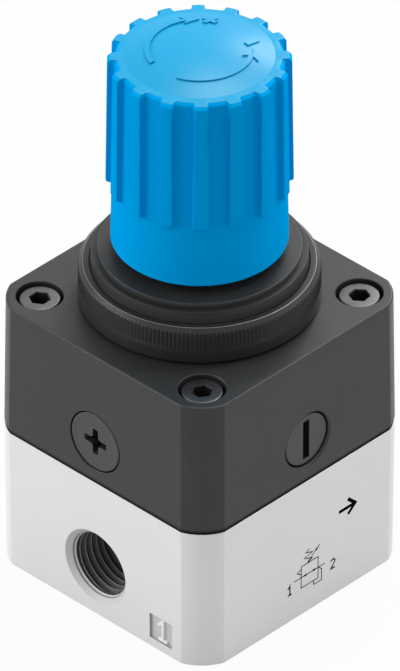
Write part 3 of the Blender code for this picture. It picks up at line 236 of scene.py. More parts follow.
class Graph:
    """A node tree: one method adds any node, another fills a node's sockets."""

    def __init__(self, tree):
        self.tree = tree

    def add(self, kind, settings, inputs, output=0):
        node = self.tree.nodes.new(kind)
        for name, value in settings.items():
            if name == "stops":
                for stop, (position, shade) in zip(node.color_ramp.elements, value):
                    stop.position = position
                    stop.color = (shade, shade, shade, 1.0)
            else:
                setattr(node, name, value)
        self.fill(node, inputs)
        return Socket(self, node.outputs[output])

    def fill(self, node, values):
        for key, value in values.items():
            if isinstance(value, Socket):
                self.tree.links.new(value.output, node.inputs[key])
            else:
                node.inputs[key].default_value = value

    def seen_directly(self):
        """1 for the camera's rays and for mirror and glass rays, 0 for light on the object."""
        rays = self.add("ShaderNodeLightPath", {}, {}, output="Is Camera Ray")
        node = rays.output.node
        mirror = Socket(self, node.outputs["Is Glossy Ray"])
        glass = Socket(self, node.outputs["Is Transmission Ray"])
        return self.larger(self.larger(rays, mirror), glass)

    def larger(self, first, second):
        return first.math("MAXIMUM", first, second)


class Finish(Graph):
    """The node tree of one material, with its Principled shader."""

    def __init__(self, name, roughness, metallic=0.0, specular=0.5):
        self.material = bpy.data.materials.new(name)
        self.material.use_nodes = True
        super().__init__(self.material.node_tree)
        self.shader = self.tree.nodes["Principled BSDF"]
        self.fill(self.shader, {"Roughness": roughness, "Metallic": metallic,
                                "Specular IOR Level": specular})

    def place(self, stretch=(1.0, 1.0, 1.0)):
        """Position on the piece, in metres, stretched along the axes."""
        found = self.add("ShaderNodeTexCoord", {}, {}, output="Object")
        return self.add("ShaderNodeVectorMath", {"operation": "MULTIPLY"}, {0: found, 1: stretch})

    def noise(self, scale, detail=2.0, stretch=(1.0, 1.0, 1.0)):
        return self.add("ShaderNodeTexNoise", {}, {
            "Vector": self.place(stretch), "Scale": scale, "Detail": detail, "Roughness": 0.55})

    def grains(self, scale):
        return self.add("ShaderNodeTexVoronoi", {"feature": "F1"}, {
            "Vector": self.place(), "Scale": scale})

    def ramp(self, value, low, high):
        return self.add("ShaderNodeValToRGB", {"stops": ((low, 0.0), (high, 1.0))}, {"Fac": value})

    def mix(self, share, first, second):
        first, second = (shade if isinstance(shade, Socket) else (*shade, 1.0)
                         for shade in (first, second))
        return self.add("ShaderNodeMix", {"data_type": "RGBA"}, {
            0: share, 6: first, 7: second}, output=2)

    def bump(self, height, depth, strength=1.0):
        return self.add("ShaderNodeBump", {}, {
            "Height": height, "Distance": depth, "Strength": strength})


def shaded(base, factor):
    return tuple(min(1.0, channel * factor) for channel in base)


def coated_metal(name, base, roughness, grain, variation=0.06, specular=0.3):
    """A sprayed coat on cast metal: fine grain, faint clouds and slightly uneven gloss."""
    coat = Finish(name, roughness, specular=specular)
    clouds = coat.noise(90.0, 3.0)
    specks = coat.noise(5200.0, 2.0)
    shade = coat.ramp(clouds * 0.6 + specks * 0.4, 0.35, 0.65)
    coat.fill(coat.shader, {
        "Base Color": coat.mix(shade, shaded(base, 1 - variation), shaded(base, 1 + variation)),
        "Roughness": coat.noise(420.0, 2.0) * 0.14 + (roughness - 0.07),
        "Normal": coat.bump(specks, grain, 0.5),
    })
    return coat.material


def moulded_plastic(name, base, top, roughness, coat_and_shade_above):
    """Dyed moulded plastic: a faint flow pattern, an eroded side and a clear-coated top whose blue
    is painted shade, darker than the side to offset the stronger light on the top.
    """
    plastic = Finish(name, roughness, specular=0.0)
    height = plastic.add("ShaderNodeSeparateXYZ", {}, {0: plastic.place()}, output=2)
    top_coat_and_shade = plastic.add("ShaderNodeMapRange", {}, {
        "Value": height, "From Min": coat_and_shade_above - 0.1 * MM, "From Max": coat_and_shade_above})
    plastic.fill(plastic.shader, {"Coat Weight": top_coat_and_shade * 0.6, "Coat Roughness": 0.34})
    flow = plastic.noise(60.0, 2.0, (1.0, 1.0, 0.35))
    grain = plastic.noise(7000.0, 1.0)
    cloud = plastic.ramp(flow, 0.3, 0.7)
    side = plastic.mix(cloud, shaded(base, 0.965), shaded(base, 1.035))
    # The top's colour is painted shade, a darker blue than the side.
    cap = plastic.mix(cloud, shaded(top, 0.975), shaded(top, 1.025))
    plastic.fill(plastic.shader, {
        "Base Color": plastic.mix(top_coat_and_shade, side, cap),
        "Roughness": grain * 0.12 + (roughness - 0.06),
        "Normal": plastic.bump(grain, 0.012 * MM, 0.35),
    })
    return plastic.material


def turned_metal(name, base, roughness, metallic=1.0, stretch=(1.0, 1.0, 9.0)):
    """Machined or drawn metal: fine tool marks and worn, uneven gloss."""
    metal = Finish(name, roughness, metallic)
    marks = metal.noise(2600.0, 3.0, stretch)
    wear = metal.noise(300.0, 2.0)
    metal.fill(metal.shader, {
        "Base Color": metal.mix(metal.ramp(wear, 0.3, 0.7), shaded(base, 0.9), shaded(base, 1.1)),
        "Roughness": marks * 0.16 + wear * 0.08 + (roughness - 0.12),
        "Normal": metal.bump(marks, 0.006 * MM, 0.4),
    })
    return metal.material


def cured_rubber(name, base):
    """Matt moulded rubber with a dusty bloom."""
    rubber = Finish(name, 0.8)
    bloom = rubber.noise(700.0, 4.0)
    rubber.fill(rubber.shader, {
        "Base Color": rubber.mix(rubber.ramp(bloom, 0.4, 0.75), base, shaded(base, 1.9)),
        "Roughness": bloom * 0.2 + 0.65,
        "Normal": rubber.bump(bloom, 0.01 * MM, 0.4),
    })
    return rubber.material


def printed_ink(name, base):
    """Pad-printed ink, slightly starved at its edge grain."""
    ink = Finish(name, 0.5, specular=0.0)
    pores = ink.grains(5000.0)
    ink.fill(ink.shader, {
        "Base Color": ink.mix(ink.ramp(pores, 0.05, 0.5), shaded(base, 2.0), base),
        "Roughness": pores * 0.2 + 0.4,
        "Normal": ink.bump(pores, 0.003 * MM, 0.5),
    })
    return ink.material


def finish(name):
    """The part's material of this name, made when it is first asked for."""
    full_name = "regulator " + name
    if full_name in bpy.data.materials:
        return bpy.data.materials[full_name]
    scene = bpy.context.scene
    tints = scene.regulator_colours
    light, dark = tuple(tints.light), tuple(tints.dark)
    # Height above which the knob takes its clear coat and its painted shade.
    coat_and_shade_above = scene.regulator_knob.height - 0.12 * MM
    coats = {
        "light casting": (coated_metal, light, 0.5, 0.02 * MM, 0.012),
        # Painted shade: the port's chamfer is a darker copy of the light casting.
        "port chamfer": (coated_metal, shaded(light, 0.8), 0.5, 0.015 * MM, 0.02),
        # Painted shade: the floor of a number recess is a darker copy of the light casting.
        "cast recess": (coated_metal, shaded(light, 0.76), 0.6, 0.02 * MM, 0.03),
        # Painted shade: the walls of a number recess and the port's groove are a darker copy
        # still.
        "recess wall": (coated_metal, shaded(light, 0.5), 0.7, 0.02 * MM, 0.05),
        # Painted highlight: the raised numbers are a lighter copy of the light casting.
        "number face": (coated_metal, shaded(light, 1.15), 0.45, 0.02 * MM, 0.01),
        "dark casting": (coated_metal, dark, 0.4, 0.02 * MM, 0.07, 0.33),
        # Painted shade: the neck's collar is a darker copy of the dark casting.
        "neck coat": (coated_metal, shaded(dark, 0.75), 0.4, 0.02 * MM, 0.07, 0.25),
        "black nut": (coated_metal, tuple(tints.nut), 0.34, 0.01 * MM, 0.08, 0.25),
        "plug metal": (coated_metal, tuple(tints.plug), 0.42, 0.015 * MM, 0.06, 0.5),
        # Black seam at the parting line: partly the clamped diaphragm's rim, partly painted shade
        # in the gap.
        "seam black": (coated_metal, (0.022, 0.023, 0.022), 0.9, 0.02 * MM, 0.1, 0.0),
        # Painted shade: near black in the screw sockets, the cross recess and the slot.
        "recess black": (coated_metal, (0.006, 0.006, 0.006), 0.6, 0.01 * MM, 0.2),
        "knob plastic": (moulded_plastic, tuple(tints.knob), tuple(tints.knob_top_shade), 0.36,
                         coat_and_shade_above),
        "dark screw steel": (turned_metal, tuple(tints.screw), 0.42),
        # Painted highlight: a lighter metal on the nut's top edge.
        "worn edge": (turned_metal, (0.16, 0.16, 0.16), 0.38, 0.5),
        # Painted shade: near black inside the port threads.
        "thread bore": (turned_metal, (0.05, 0.051, 0.05), 0.6, 0.0),
        # Painted highlight: light grey on the thread's crests.
        "thread crest": (turned_metal, (0.6, 0.6, 0.6), 0.45, 0.1),
        "brass": (turned_metal, (0.70, 0.50, 0.22), 0.3),
        "plated steel": (turned_metal, (0.58, 0.58, 0.56), 0.3),
        "spring steel": (turned_metal, (0.34, 0.35, 0.36), 0.34),
        "print": (printed_ink, tuple(tints.ink)),
        "black rubber": (cured_rubber, (0.014, 0.014, 0.014)),
    }
    make, *values = coats[name]
    return make(full_name, *values)


# Outlines and solids
def turn_between(first, second):
    return math.atan2(first.x * second.y - first.y * second.x, first.dot(second))


def rounded(points, steps=3):
    """A closed outline whose corners (x, y, radius) become arcs; corners (x, y) stay."""
    outline = []
    count = len(points)
    for i, point in enumerate(points):
        corner = Vector(point[:2])
        if len(point) == 2:
            outline.append(corner)
            continue
        radius = point[2]
        before = (Vector(points[i - 1][:2]) - corner).normalized()
        after = (Vector(points[(i + 1) % count][:2]) - corner).normalized()
        half = before.angle(after) / 2
        centre = corner + (before + after).normalized() * radius / math.sin(half)
        start = corner + before * radius / math.tan(half) - centre
        turn = turn_between(start, corner + after * radius / math.tan(half) - centre)
        for k in range(steps + 1):
            outline.append(centre + Matrix.Rotation(turn * k / steps, 2) @ start)
    return outline


def circle(radius, count, start=0.0):
    return [Vector((radius * math.cos(start + 2 * math.pi * i / count),
                    radius * math.sin(start + 2 * math.pi * i / count))) for i in range(count)]


def hexagon(across):
    return circle(across / math.sqrt(3), 6)


def tidy(bm):
    bmesh.ops.remove_doubles(bm, verts=bm.verts, dist=1e-7)
    bmesh.ops.dissolve_degenerate(bm, edges=bm.edges, dist=1e-8)
    bmesh.ops.recalc_face_normals(bm, faces=bm.faces)
    if bm.calc_volume(signed=True) < 0:
        bmesh.ops.reverse_faces(bm, faces=bm.faces)


def mesh_of(bm, name, *materials):
    tidy(bm)
    mesh = bpy.data.meshes.new(name)
    bm.to_mesh(mesh)
    bm.free()
    for material in materials:
        mesh.materials.append(material)
    return mesh


def solid(name, bm, *materials):
    thing = bpy.data.objects.new(name, mesh_of(bm, name, *materials))
    bpy.context.scene.collection.objects.link(thing)
    return thing


def add_loft(bm, loops, matrix=None, closed=False):
    """Join a stack of equal loops with quads and cap both ends, or close it to a ring."""
    rows = [[bm.verts.new(point) for point in loop] for loop in loops]
    made = []
    for low, high in zip(rows, rows[1:] + rows[:1] if closed else rows[1:]):
        for i in range(len(low)):
            j = (i + 1) % len(low)
            made.append(bm.faces.new((low[i], low[j], high[j], high[i])))
    if not closed:
        made.append(bm.faces.new(list(reversed(rows[0]))))
        made.append(bm.faces.new(rows[-1]))
    if matrix is not None:
        bmesh.ops.transform(bm, matrix=matrix, verts=[vert for row in rows for vert in row])
    return made


def flat_loops(outline, *heights):
    return [[(x, y, height) for x, y in outline] for height in heights]


def add_turned(bm, profile, segments, matrix=None):
    """Turn a closed outline of (radius, height) points about Z; points on the axis merge."""
    rows = []
    for i in range(segments):
        angle = 2 * math.pi * i / segments
        rows.append([bm.verts.new((r * math.cos(angle), r * math.sin(angle), z))
                     for r, z in profile])
    made = []
    for i in range(segments):
        near, far = rows[i], rows[(i + 1) % segments]
        for k in range(len(profile)):
            m = (k + 1) % len(profile)
            if profile[k][0] or profile[m][0]:
                made.append(bm.faces.new((near[k], far[k], far[m], near[m])))
    verts = [vert for row in rows for vert in row]
    if matrix is not None:
        bmesh.ops.transform(bm, matrix=matrix, verts=verts)
    bmesh.ops.remove_doubles(bm, verts=verts, dist=1e-7)
    return made


def add_screw(bm, profile, pitch, low, high, limit, segments, matrix=None):
    """A threaded solid. The rows follow the helix, so that crests stay sharp.

    profile holds (share of the pitch, radius, material index), and limit(radius, height)
    shapes the thread's ends.
    """
    steps = len(profile)
    start = low - pitch
    rows = steps * (math.ceil((high - start) / pitch) + 1)
    ends = []
    for height in (low, high):
        radius = limit(min(point[1] for point in profile), height)
        ends.append([bm.verts.new((x, y, height)) for x, y in circle(radius, segments)])
    grid = {}

    def vertex(column, row):
        if column == segments:
            column, row = 0, row + steps
        if (column, row) in grid:
            return grid[column, row]
        share, radius, _ = profile[row % steps]
        height = start + (row // steps + share + column / segments) * pitch
        if height <= low:
            found = ends[0][column]
        elif height >= high:
            found = ends[1][column]
        else:
            radius = limit(radius, height)
            angle = 2 * math.pi * column / segments
            found = bm.verts.new((radius * math.cos(angle), radius * math.sin(angle), height))
        grid[column, row] = found
        return found

    made = []
    for row in range(rows):
        for column in range(segments):
            corners = []
            for vert in (vertex(column, row), vertex(column + 1, row),
                         vertex(column + 1, row + 1), vertex(column, row + 1)):
                if vert not in corners:
                    corners.append(vert)
            if len(corners) > 2 and bm.faces.get(corners) is None:
                face = bm.faces.new(corners)
                face.material_index = profile[row % steps][2]
                made.append(face)
    made.append(bm.faces.new(list(reversed(ends[0]))))
    made.append(bm.faces.new(ends[1]))
    if matrix is not None:
        verts = list({vert for face in made for vert in face.verts})
        bmesh.ops.transform(bm, matrix=matrix, verts=verts)
    return made


def carve(piece, tool, operation="DIFFERENCE"):
    """Apply a Boolean with a helper solid to the piece, and drop the helper."""
    step = piece.modifiers.new("carve", "BOOLEAN")
    step.operation = operation
    step.solver = "EXACT"
    step.material_mode = "TRANSFER"
    step.object = tool
    bpy.context.view_layer.update()
    ready = piece.evaluated_get(bpy.context.evaluated_depsgraph_get())
    made = bpy.data.meshes.new_from_object(ready)
    if not made.polygons:
        raise RuntimeError(f"{piece.name}: the Boolean with {tool.name} left nothing")
    piece.modifiers.remove(step)
    bm = bmesh.new()
    bm.from_mesh(made)
    bmesh.ops.remove_doubles(bm, verts=bm.verts, dist=WELD)
    bmesh.ops.dissolve_degenerate(bm, edges=bm.edges, dist=WELD / 2)
    bm.to_mesh(made)
    bm.free()
    old = piece.data
    piece.data = made
    made.name = piece.name
    bpy.data.meshes.remove(old)
    bpy.data.objects.remove(tool, do_unlink=True)


def carve_turned(piece, profile, sides, stand, coat, operation="DIFFERENCE"):
    """Cut a turned shape from the piece, or join it to the piece."""
    bm = bmesh.new()
    add_turned(bm, profile, sides, stand)
    carve(piece, solid("turned helper", bm, finish(coat)), operation)


def carve_loft(piece, loops, stand, coat, operation="DIFFERENCE"):
    """Cut a lofted shape from the piece, or join it to the piece."""
    bm = bmesh.new()
    add_loft(bm, loops, stand)
    carve(piece, solid("lofted helper", bm, finish(coat)), operation)


def smooth(piece, angle=math.radians(38)):
    """Smooth shading between sharp edges, with flat faces kept flat beside their roundings."""
    piece.data.shade_smooth()
    piece.data.set_sharp_from_angle(angle=angle)
    weighted = piece.modifiers.new("even normals", "WEIGHTED_NORMAL")
    weighted.keep_sharp = True
    weighted.weight = 80


def settle(piece, body, slot, *nodes):
    smooth(piece)
    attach(piece, body)
    if nodes:
        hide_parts(*nodes)


TO_LEFT = Matrix.Rotation(-math.pi / 2, 4, "Y")
TO_RIGHT = Matrix.Rotation(math.pi / 2, 4, "Y")
TO_FRONT = Matrix.Rotation(math.pi / 2, 4, "X")
UPRIGHT_LEFT = Matrix(((0, 0, -1, 0), (-1, 0, 0, 0), (0, 1, 0, 0), (0, 0, 0, 1)))
UPRIGHT_RIGHT = Matrix(((0, 0, 1, 0), (1, 0, 0, 0), (0, 1, 0, 0), (0, 0, 0, 1)))


# Block of the two castings
def block_outline(body, half):
    """A square whose corners are cut by shallow arcs, with softened junctions."""
    chord = body.corner_setback / math.sqrt(2)
    middle = half - body.corner_setback / 2
    middle -= math.sqrt(body.corner_radius ** 2 - chord ** 2) / math.sqrt(2)
    sweep = math.asin(chord / body.corner_radius)
    steps = 10
    points = []
    for quarter in range(4):
        diagonal = math.pi / 4 + quarter * math.pi / 2
        centre = Vector((math.cos(diagonal), math.sin(diagonal))) * middle * math.sqrt(2)
        for i in range(steps + 1):
            angle = diagonal - sweep + 2 * sweep * i / steps
            point = centre + body.corner_radius * Vector((math.cos(angle), math.sin(angle)))
            points.append((*point, 2 * body.edge) if i in (0, steps) else tuple(point))
    return rounded(points, 2)


def add_block(bm, body, profile):
    """A drafted block whose profile holds (half width, height, edge rounding)."""
    low, high = profile[0], profile[-1]
    closed = [(0.0, low[1]), *profile, (0.0, high[1])]
    levels = rounded(closed, 3)[1:-1]
    loops = [[(x, y, height) for x, y in block_outline(body, half)] for half, height in levels]
    return add_loft(bm, loops)


def base_face_at(body, height):
    """Distance of the drafted base side from the middle at this height."""
    return body.half_width - body.base_draft * (1 - height / body.base_height)


def housing_face_at(body, height):
    """Distance of the drafted housing side from the middle at this height."""
    share = (height - body.housing_bottom) / body.housing_height
    return body.half_width - body.housing_draft * share


def four_corners():
    """Places of the screws, from the first one round to the fourth."""
    middle = (SCREW_LOW + SCREW_HIGH) / 2
    signs = ((-1, -1), (1, -1), (1, 1), (-1, 1))
    return [(x * abs(middle.x), y * abs(middle.y)) for x, y in signs]


# Strokes of numbers and printed marks
DIGIT_ONE = (((-0.24, 0.72), (0.03, 1.0), (0.03, 0.0)), ((-0.22, 0.0), (0.28, 0.0)))
DIGIT_TWO = (((-0.25, 0.77), (-0.21, 0.89), (-0.12, 0.97), (0.0, 1.0), (0.12, 0.97),
              (0.21, 0.89), (0.25, 0.77), (0.24, 0.67), (0.18, 0.56), (-0.25, 0.0),
              (0.27, 0.0)),)


def stroke(points, width, closed=False):
    """Left and right edge points of a line of this width, with mitred bends."""
    path = [Vector(point) for point in points]
    count = len(path)
    edges = []
    for i, point in enumerate(path):
        ahead = path[(i + 1) % count] - point
        behind = point - path[i - 1]
        if not closed:
            ahead = ahead if i < count - 1 else behind
            behind = behind if i else ahead
        ahead = ahead.normalized()
        middle = ahead + behind.normalized()
        across = Vector((-middle.y, middle.x)).normalized()
        reach = width / 2 / max(0.35, across.dot(Vector((-ahead.y, ahead.x))))
        edges.append((point + across * reach, point - across * reach))
    return edges


def ridge_sections(edges, low, high, soft):
    """Sections of a raised line between edge points; low and high give a point's height."""
    sections = []
    for left, right in edges:
        inwards = (right - left).normalized() * soft
        inner, outer = left + inwards, right - inwards
        sections.append([
            (*left, low(left)), (*right, low(right)), (*right, high(right) - soft),
            (*outer, high(outer)), (*inner, high(inner)), (*left, high(left) - soft)])
    return sections


def digit(shape, height, place):
    return [[(place[0] + x * height, place[1] + y * height) for x, y in line] for line in shape]


# Base
PORT_THREAD_TURN = math.radians(72)
NUMBER_HEIGHT = 3.85 * MM
NUMBER_STROKE = 0.6 * MM


def thread_profile(crest, root, crest_slot=0, flank_slot=0):
    """Rounded 55 degree thread over one pitch: crest, flank, root, flank."""
    soft = 0.1 * (root - crest)
    return [
        (0.00, crest, crest_slot),
        (0.10, crest, flank_slot),
        (0.15, crest + soft, flank_slot),
        (0.46, root - soft, flank_slot),
        (0.50, root, flank_slot),
        (0.60, root, flank_slot),
        (0.64, root - soft, flank_slot),
        (0.95, crest + soft, crest_slot),
    ]


class REGULATOR_OT_base(Operator):
    """Light casting with threaded ports, valve space and raised port numbers"""

    bl_idname = "regulator.base"
    bl_label = "Base"

    def execute(self, context):
        body = context.scene.regulator_body
        port = context.scene.regulator_port
        foot = body.half_width - body.base_draft
        bm = bmesh.new()
        faces = add_block(bm, body, [(foot, 0.0, 0.4 * MM),
                                     (body.half_width, body.base_height, 0.12 * MM)])
        # The base's top face takes the black seam, partly the diaphragm's rim and partly painted
        # shade under the housing's bevel.
        faces[-1].material_index = 1
        base = solid("base_casting", bm, finish("light casting"), finish("seam black"))
        self.cut_numbers(base, body, port)
        self.cut_inside(base, body, port)
        self.cut_ports(base, body, port)
        settle(base, "housing", "light_casting", "base_body")
        return {"FINISHED"}

    def cut_ports(self, base, body, port):
        face = base_face_at(body, port.height)
        # Slot 1 gives the thread's crest lands a light metal as painted highlight; slot 0 gives
        # its flanks near black as painted shade.
        profile = thread_profile(port.crest, port.root, 1, 0)
        land = 0.92 * MM
        ring = port.chamfer - land
        start = -port.run_in

        def limit(radius, height):
            """The thread runs out to its crest at the mouth."""
            return max(port.crest, min(radius, port.crest + (start - height) * 0.9))

        past = 0.5 * MM
        cone = [(0, -land), (ring, -land), (port.chamfer, 0), (port.chamfer + past, past),
                (0, past)]
        groove_radius = ring + 0.12 * MM
        groove = [(0, -land - 0.25 * MM), (groove_radius, -land - 0.25 * MM),
                  (groove_radius, -land + 0.05 * MM), (0, -land + 0.05 * MM)]
        lip = ring - 0.1 * MM
        mouth = [(0, start), (port.crest + 0.12 * MM, start), (lip, -land - 0.15 * MM),
                 (lip, -land - 0.1 * MM), (0, -land - 0.1 * MM)]
        relief_radius = port.crest + 0.3 * MM
        relief = [(0, start - 0.35 * MM), (relief_radius, start - 0.35 * MM),
                  (relief_radius, start + 0.06 * MM), (0, start + 0.06 * MM)]
        for turn in (TO_LEFT, TO_RIGHT):
            stand = (Matrix.Translation((0, 0, port.height)) @ turn
                     @ Matrix.Translation((0, 0, face)))
            thread_stand = stand @ Matrix.Rotation(PORT_THREAD_TURN, 4, "Z")
            bm = bmesh.new()
            # The thread cutter leaves painted shade in the bore and painted highlight on the
            # crests.
            add_screw(bm, profile, port.pitch, -port.depth, start + 0.1 * MM, limit, FINE_SIDES,
                      thread_stand)
            carve(base, solid("thread cutter", bm, finish("thread bore"), finish("thread crest")))
            # The chamfer and the groove are painted shade, darker copies of the light casting; the
            # relief is near-black painted shade.
            for outline, coat in ((cone, "port chamfer"), (groove, "recess wall"),
                                  (mouth, "light casting"), (relief, "thread bore")):
                carve_turned(base, outline, FINE_SIDES, stand, coat)

    def cut_inside(self, base, body, port):
        top = body.base_height + 0.5 * MM
        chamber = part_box("diaphragm_plate")[1].x + 4.1 * MM
        chamber_floor = 21.5 * MM
        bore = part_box("valve_seat")[1].x + GAP
        bore_floor = 3.5 * MM
        coat = "light casting"
        carve_turned(base, [(0, bore_floor), (bore, bore_floor), (bore, chamber_floor),
                            (chamber, chamber_floor), (chamber, top), (0, top)],
                     PLAIN_SIDES, Matrix(), coat)
        passage = 2.4 * MM
        port_end = body.half_width - port.depth + 0.4 * MM
        inlet = [(0, bore - GAP), (passage, bore - GAP), (passage, port_end), (0, port_end)]
        at_port = Matrix.Translation((0, 0, port.height))
        carve_turned(base, inlet, PASSAGE_SIDES, at_port @ TO_LEFT, coat)
        rise_top = chamber_floor + GAP
        rise = [(0, port.height), (passage, port.height), (passage, rise_top), (0, rise_top)]
        at_rise = Matrix.Translation((chamber - passage - GAP, 0, 0))
        carve_turned(base, rise, PASSAGE_SIDES, at_rise, coat)
        tapped, tapped_floor = 2.2 * MM, 14.5 * MM
        hole = [(0, tapped_floor), (tapped, tapped_floor), (tapped, top), (0, top)]
        for x, y in four_corners():
            carve_turned(base, hole, HOLE_SIDES, Matrix.Translation((x, y, 0)), coat)

    def cut_numbers(self, base, body, port):
        foot = body.half_width - body.base_draft
        floor = foot - port.number_depth
        half = port.number_width / 2
        low = port.number_low
        high = low + port.number_height
        soft = 0.15 * MM
        for stand, side, shape in ((UPRIGHT_LEFT, 1, DIGIT_ONE), (UPRIGHT_RIGHT, -1, DIGIT_TWO)):
            middle = side * port.number_across
            window = rounded([(middle - half, low, soft), (middle + half, low, soft),
                              (middle + half, high, soft), (middle - half, high, soft)], 2)
            bm = bmesh.new()
            made = add_loft(bm, flat_loops(window, floor, body.half_width + 0.5 * MM), stand)
            # The recess's floor and walls are painted shade, darker copies of the light casting.
            for face in made[:-2]:
                face.material_index = 1
            carve(base, solid("number recess cutter", bm, finish("cast recess"),
                              finish("recess wall")))
            lines = digit(shape, NUMBER_HEIGHT, (middle + 0.2 * MM, low + 0.5 * MM))
            for drop, line in zip((0.02 * MM, 0.05 * MM), lines):
                sections = ridge_sections(stroke(line, NUMBER_STROKE),
                                          lambda point: floor - 0.2 * MM - drop,
                                          lambda point: foot - drop, 0.12 * MM)
                # The raised strokes take the painted highlight, lighter than the face around them.
                carve_loft(base, sections, stand, "number face", "UNION")


# Upper housing
LOCK_TEETH = 20


def tooth_ring(inner, outer, count, share):
    pitch = 2 * math.pi / count
    outline = []
    for i in range(count):
        for radius, turn in ((inner, -share), (outer, -share), (outer, share), (inner, share)):
            angle = (i + turn / 2) * pitch
            outline.append(Vector((radius * math.cos(angle), radius * math.sin(angle))))
    return outline


class REGULATOR_OT_upper_housing(Operator):
    """Dark casting with its threaded neck, spring tube, counterbores and plug wells"""

    bl_idname = "regulator.upper_housing"
    bl_label = "Upper housing"

    def execute(self, context):
        body = context.scene.regulator_body
        top = body.housing_bottom + body.housing_height
        half = body.half_width
        bm = bmesh.new()
        inset, lip, bevel = body.parting_inset, 0.2 * MM, body.parting_bevel
        faces = add_block(bm, body, [
            (half - inset, body.housing_bottom, 0.05 * MM),
            (half - inset, body.housing_bottom + lip),
            (half, body.housing_bottom + bevel, 0.1 * MM),
            (half - body.housing_draft, top, body.edge),
        ])
        # The bevel above the parting line takes the black seam, partly the diaphragm's rim and
        # partly painted shade.
        for face in faces:
            rise = face.calc_center_median().z - body.housing_bottom
            face.material_index = lip < rise < bevel - 0.06 * MM
        housing = solid("housing_casting", bm, finish("dark casting"), finish("seam black"))
        self.cut_plug_wells(housing, body)
        self.cut_screw_holes(housing, context.scene.regulator_fastener, body, top)
        self.add_neck(housing, context.scene.regulator_neck, top)
        self.cut_inside(housing, body, top)
        settle(housing, "housing", "dark_casting", "upper_housing")
        return {"FINISHED"}

    def add_neck(self, housing, neck, top):
        neck_top = top + neck.height
        cap_top = neck_top + neck.cap_step
        chamfer = 0.25 * MM

        def limit(radius, height):
            return min(radius, neck.radius - max(0.0, height - (neck_top - chamfer)))

        bm = bmesh.new()
        profile = [(share, neck.radius + neck.root - radius, slot) for share, radius, slot
                   in thread_profile(neck.root, neck.radius)]
        collar = NUT_HIGH.z - 0.5 * MM
        add_screw(bm, profile, neck.pitch, top - 2 * neck.pitch, collar + 0.1 * MM, limit,
                  NECK_SIDES)
        carve(housing, solid("neck thread", bm, finish("dark casting")), "UNION")
        flare = neck.radius + 0.2 * MM
        # The collar under the nut is painted shade, a darker copy of the dark casting.
        carve_turned(housing, rounded([
            (0, collar), (neck.radius - 0.15 * MM, collar), (flare, collar + 0.35 * MM),
            (flare, NUT_HIGH.z + 0.1 * MM), (neck.radius, NUT_HIGH.z + 0.7 * MM),
            (neck.radius, neck_top, 0.16 * MM), (0, neck_top),
        ], 3), NECK_SIDES, Matrix(), "neck coat", "UNION")
        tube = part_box("knob_detent_ring")[1].x - GAP
        tube_top = HOUSING_HIGH.z
        groove = tube_top - 4.3 * MM
        groove_half = 0.75 * MM
        groove_root = tube - 0.9 * MM
        carve_turned(housing, rounded([
            (0, neck_top - 2 * MM),
            (neck.cap_radius, neck_top - 2 * MM),
            (neck.cap_radius, cap_top, 0.15 * MM),
            (tube, cap_top),
            (tube, groove - groove_half),
            (groove_root, groove - groove_half),
            (groove_root, groove + groove_half),
            (tube, groove + groove_half),
            (tube, tube_top, 0.4 * MM),
            (0, tube_top),
        ], 3), NECK_SIDES, Matrix(), "dark casting", "UNION")
        teeth = tooth_ring(tube - 1.1 * MM, tube + 0.8 * MM, LOCK_TEETH, 0.42)
        carve_loft(housing, flat_loops(teeth, cap_top - 0.4 * MM, KNOB_LOW.z - GAP), None,
                   "dark casting", "UNION")

    def cut_inside(self, housing, body, top):
        low = body.housing_bottom - 0.5 * MM
        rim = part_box("diaphragm")[1].x + GAP
        chamber = rim - 3.3 * MM
        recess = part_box("diaphragm")[1].z + GAP
        shoulder = recess + 4.3 * MM
        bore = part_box("spring_nut")[1].y + GAP
        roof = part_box("thrust_washer")[1].z + GAP
        spindle_hole = 4.15 * MM
        past_top = HOUSING_HIGH.z + 0.5 * MM
        carve_turned(housing, [
            (0, low), (rim, low), (rim, recess), (chamber, recess), (chamber, shoulder),
            (bore, shoulder), (bore, roof), (spindle_hole, roof), (spindle_hole, past_top),
            (0, past_top),
        ], FINE_SIDES, Matrix(), "dark casting")
        half = 1.1 * MM
        for side in (-1, 1):
            near, far = side * (bore - 0.7 * MM), side * (bore + 0.4 * MM)
            key = [(near, -half), (far, -half), (far, half), (near, half)]
            carve_loft(housing, flat_loops(key, shoulder + GAP, roof + 0.2 * MM), None,
                       "dark casting", "UNION")
        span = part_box("knob_detent_ring")[1].x + 1.0 * MM
        breather = [(0, -span), (1.2 * MM, -span), (1.2 * MM, span), (0, span)]
        height = min((KNOB_LOW.z + HOUSING_HIGH.z) / 2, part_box("spring_nut")[0].z)
        carve_turned(housing, breather, HOLE_SIDES,
                     Matrix.Translation((0, 0, height)) @ TO_FRONT, "dark casting")

    def cut_screw_holes(self, housing, fastener, body, top):
        floor = SCREW_HIGH.z - fastener.screw_head - GAP
        shank = fastener.screw_thread + GAP
        bore = fastener.counterbore
        soft = 0.12 * MM
        past = 0.5 * MM
        profile = [(0, body.housing_bottom - past), (shank, body.housing_bottom - past),
                   (shank, floor), (bore, floor), (bore, top - soft), (bore + soft, top),
                   (bore + soft, top + past), (0, top + past)]
        for x, y in four_corners():
            carve_turned(housing, profile, COUNTERBORE_SIDES, Matrix.Translation((x, y, 0)),
                         "dark casting")

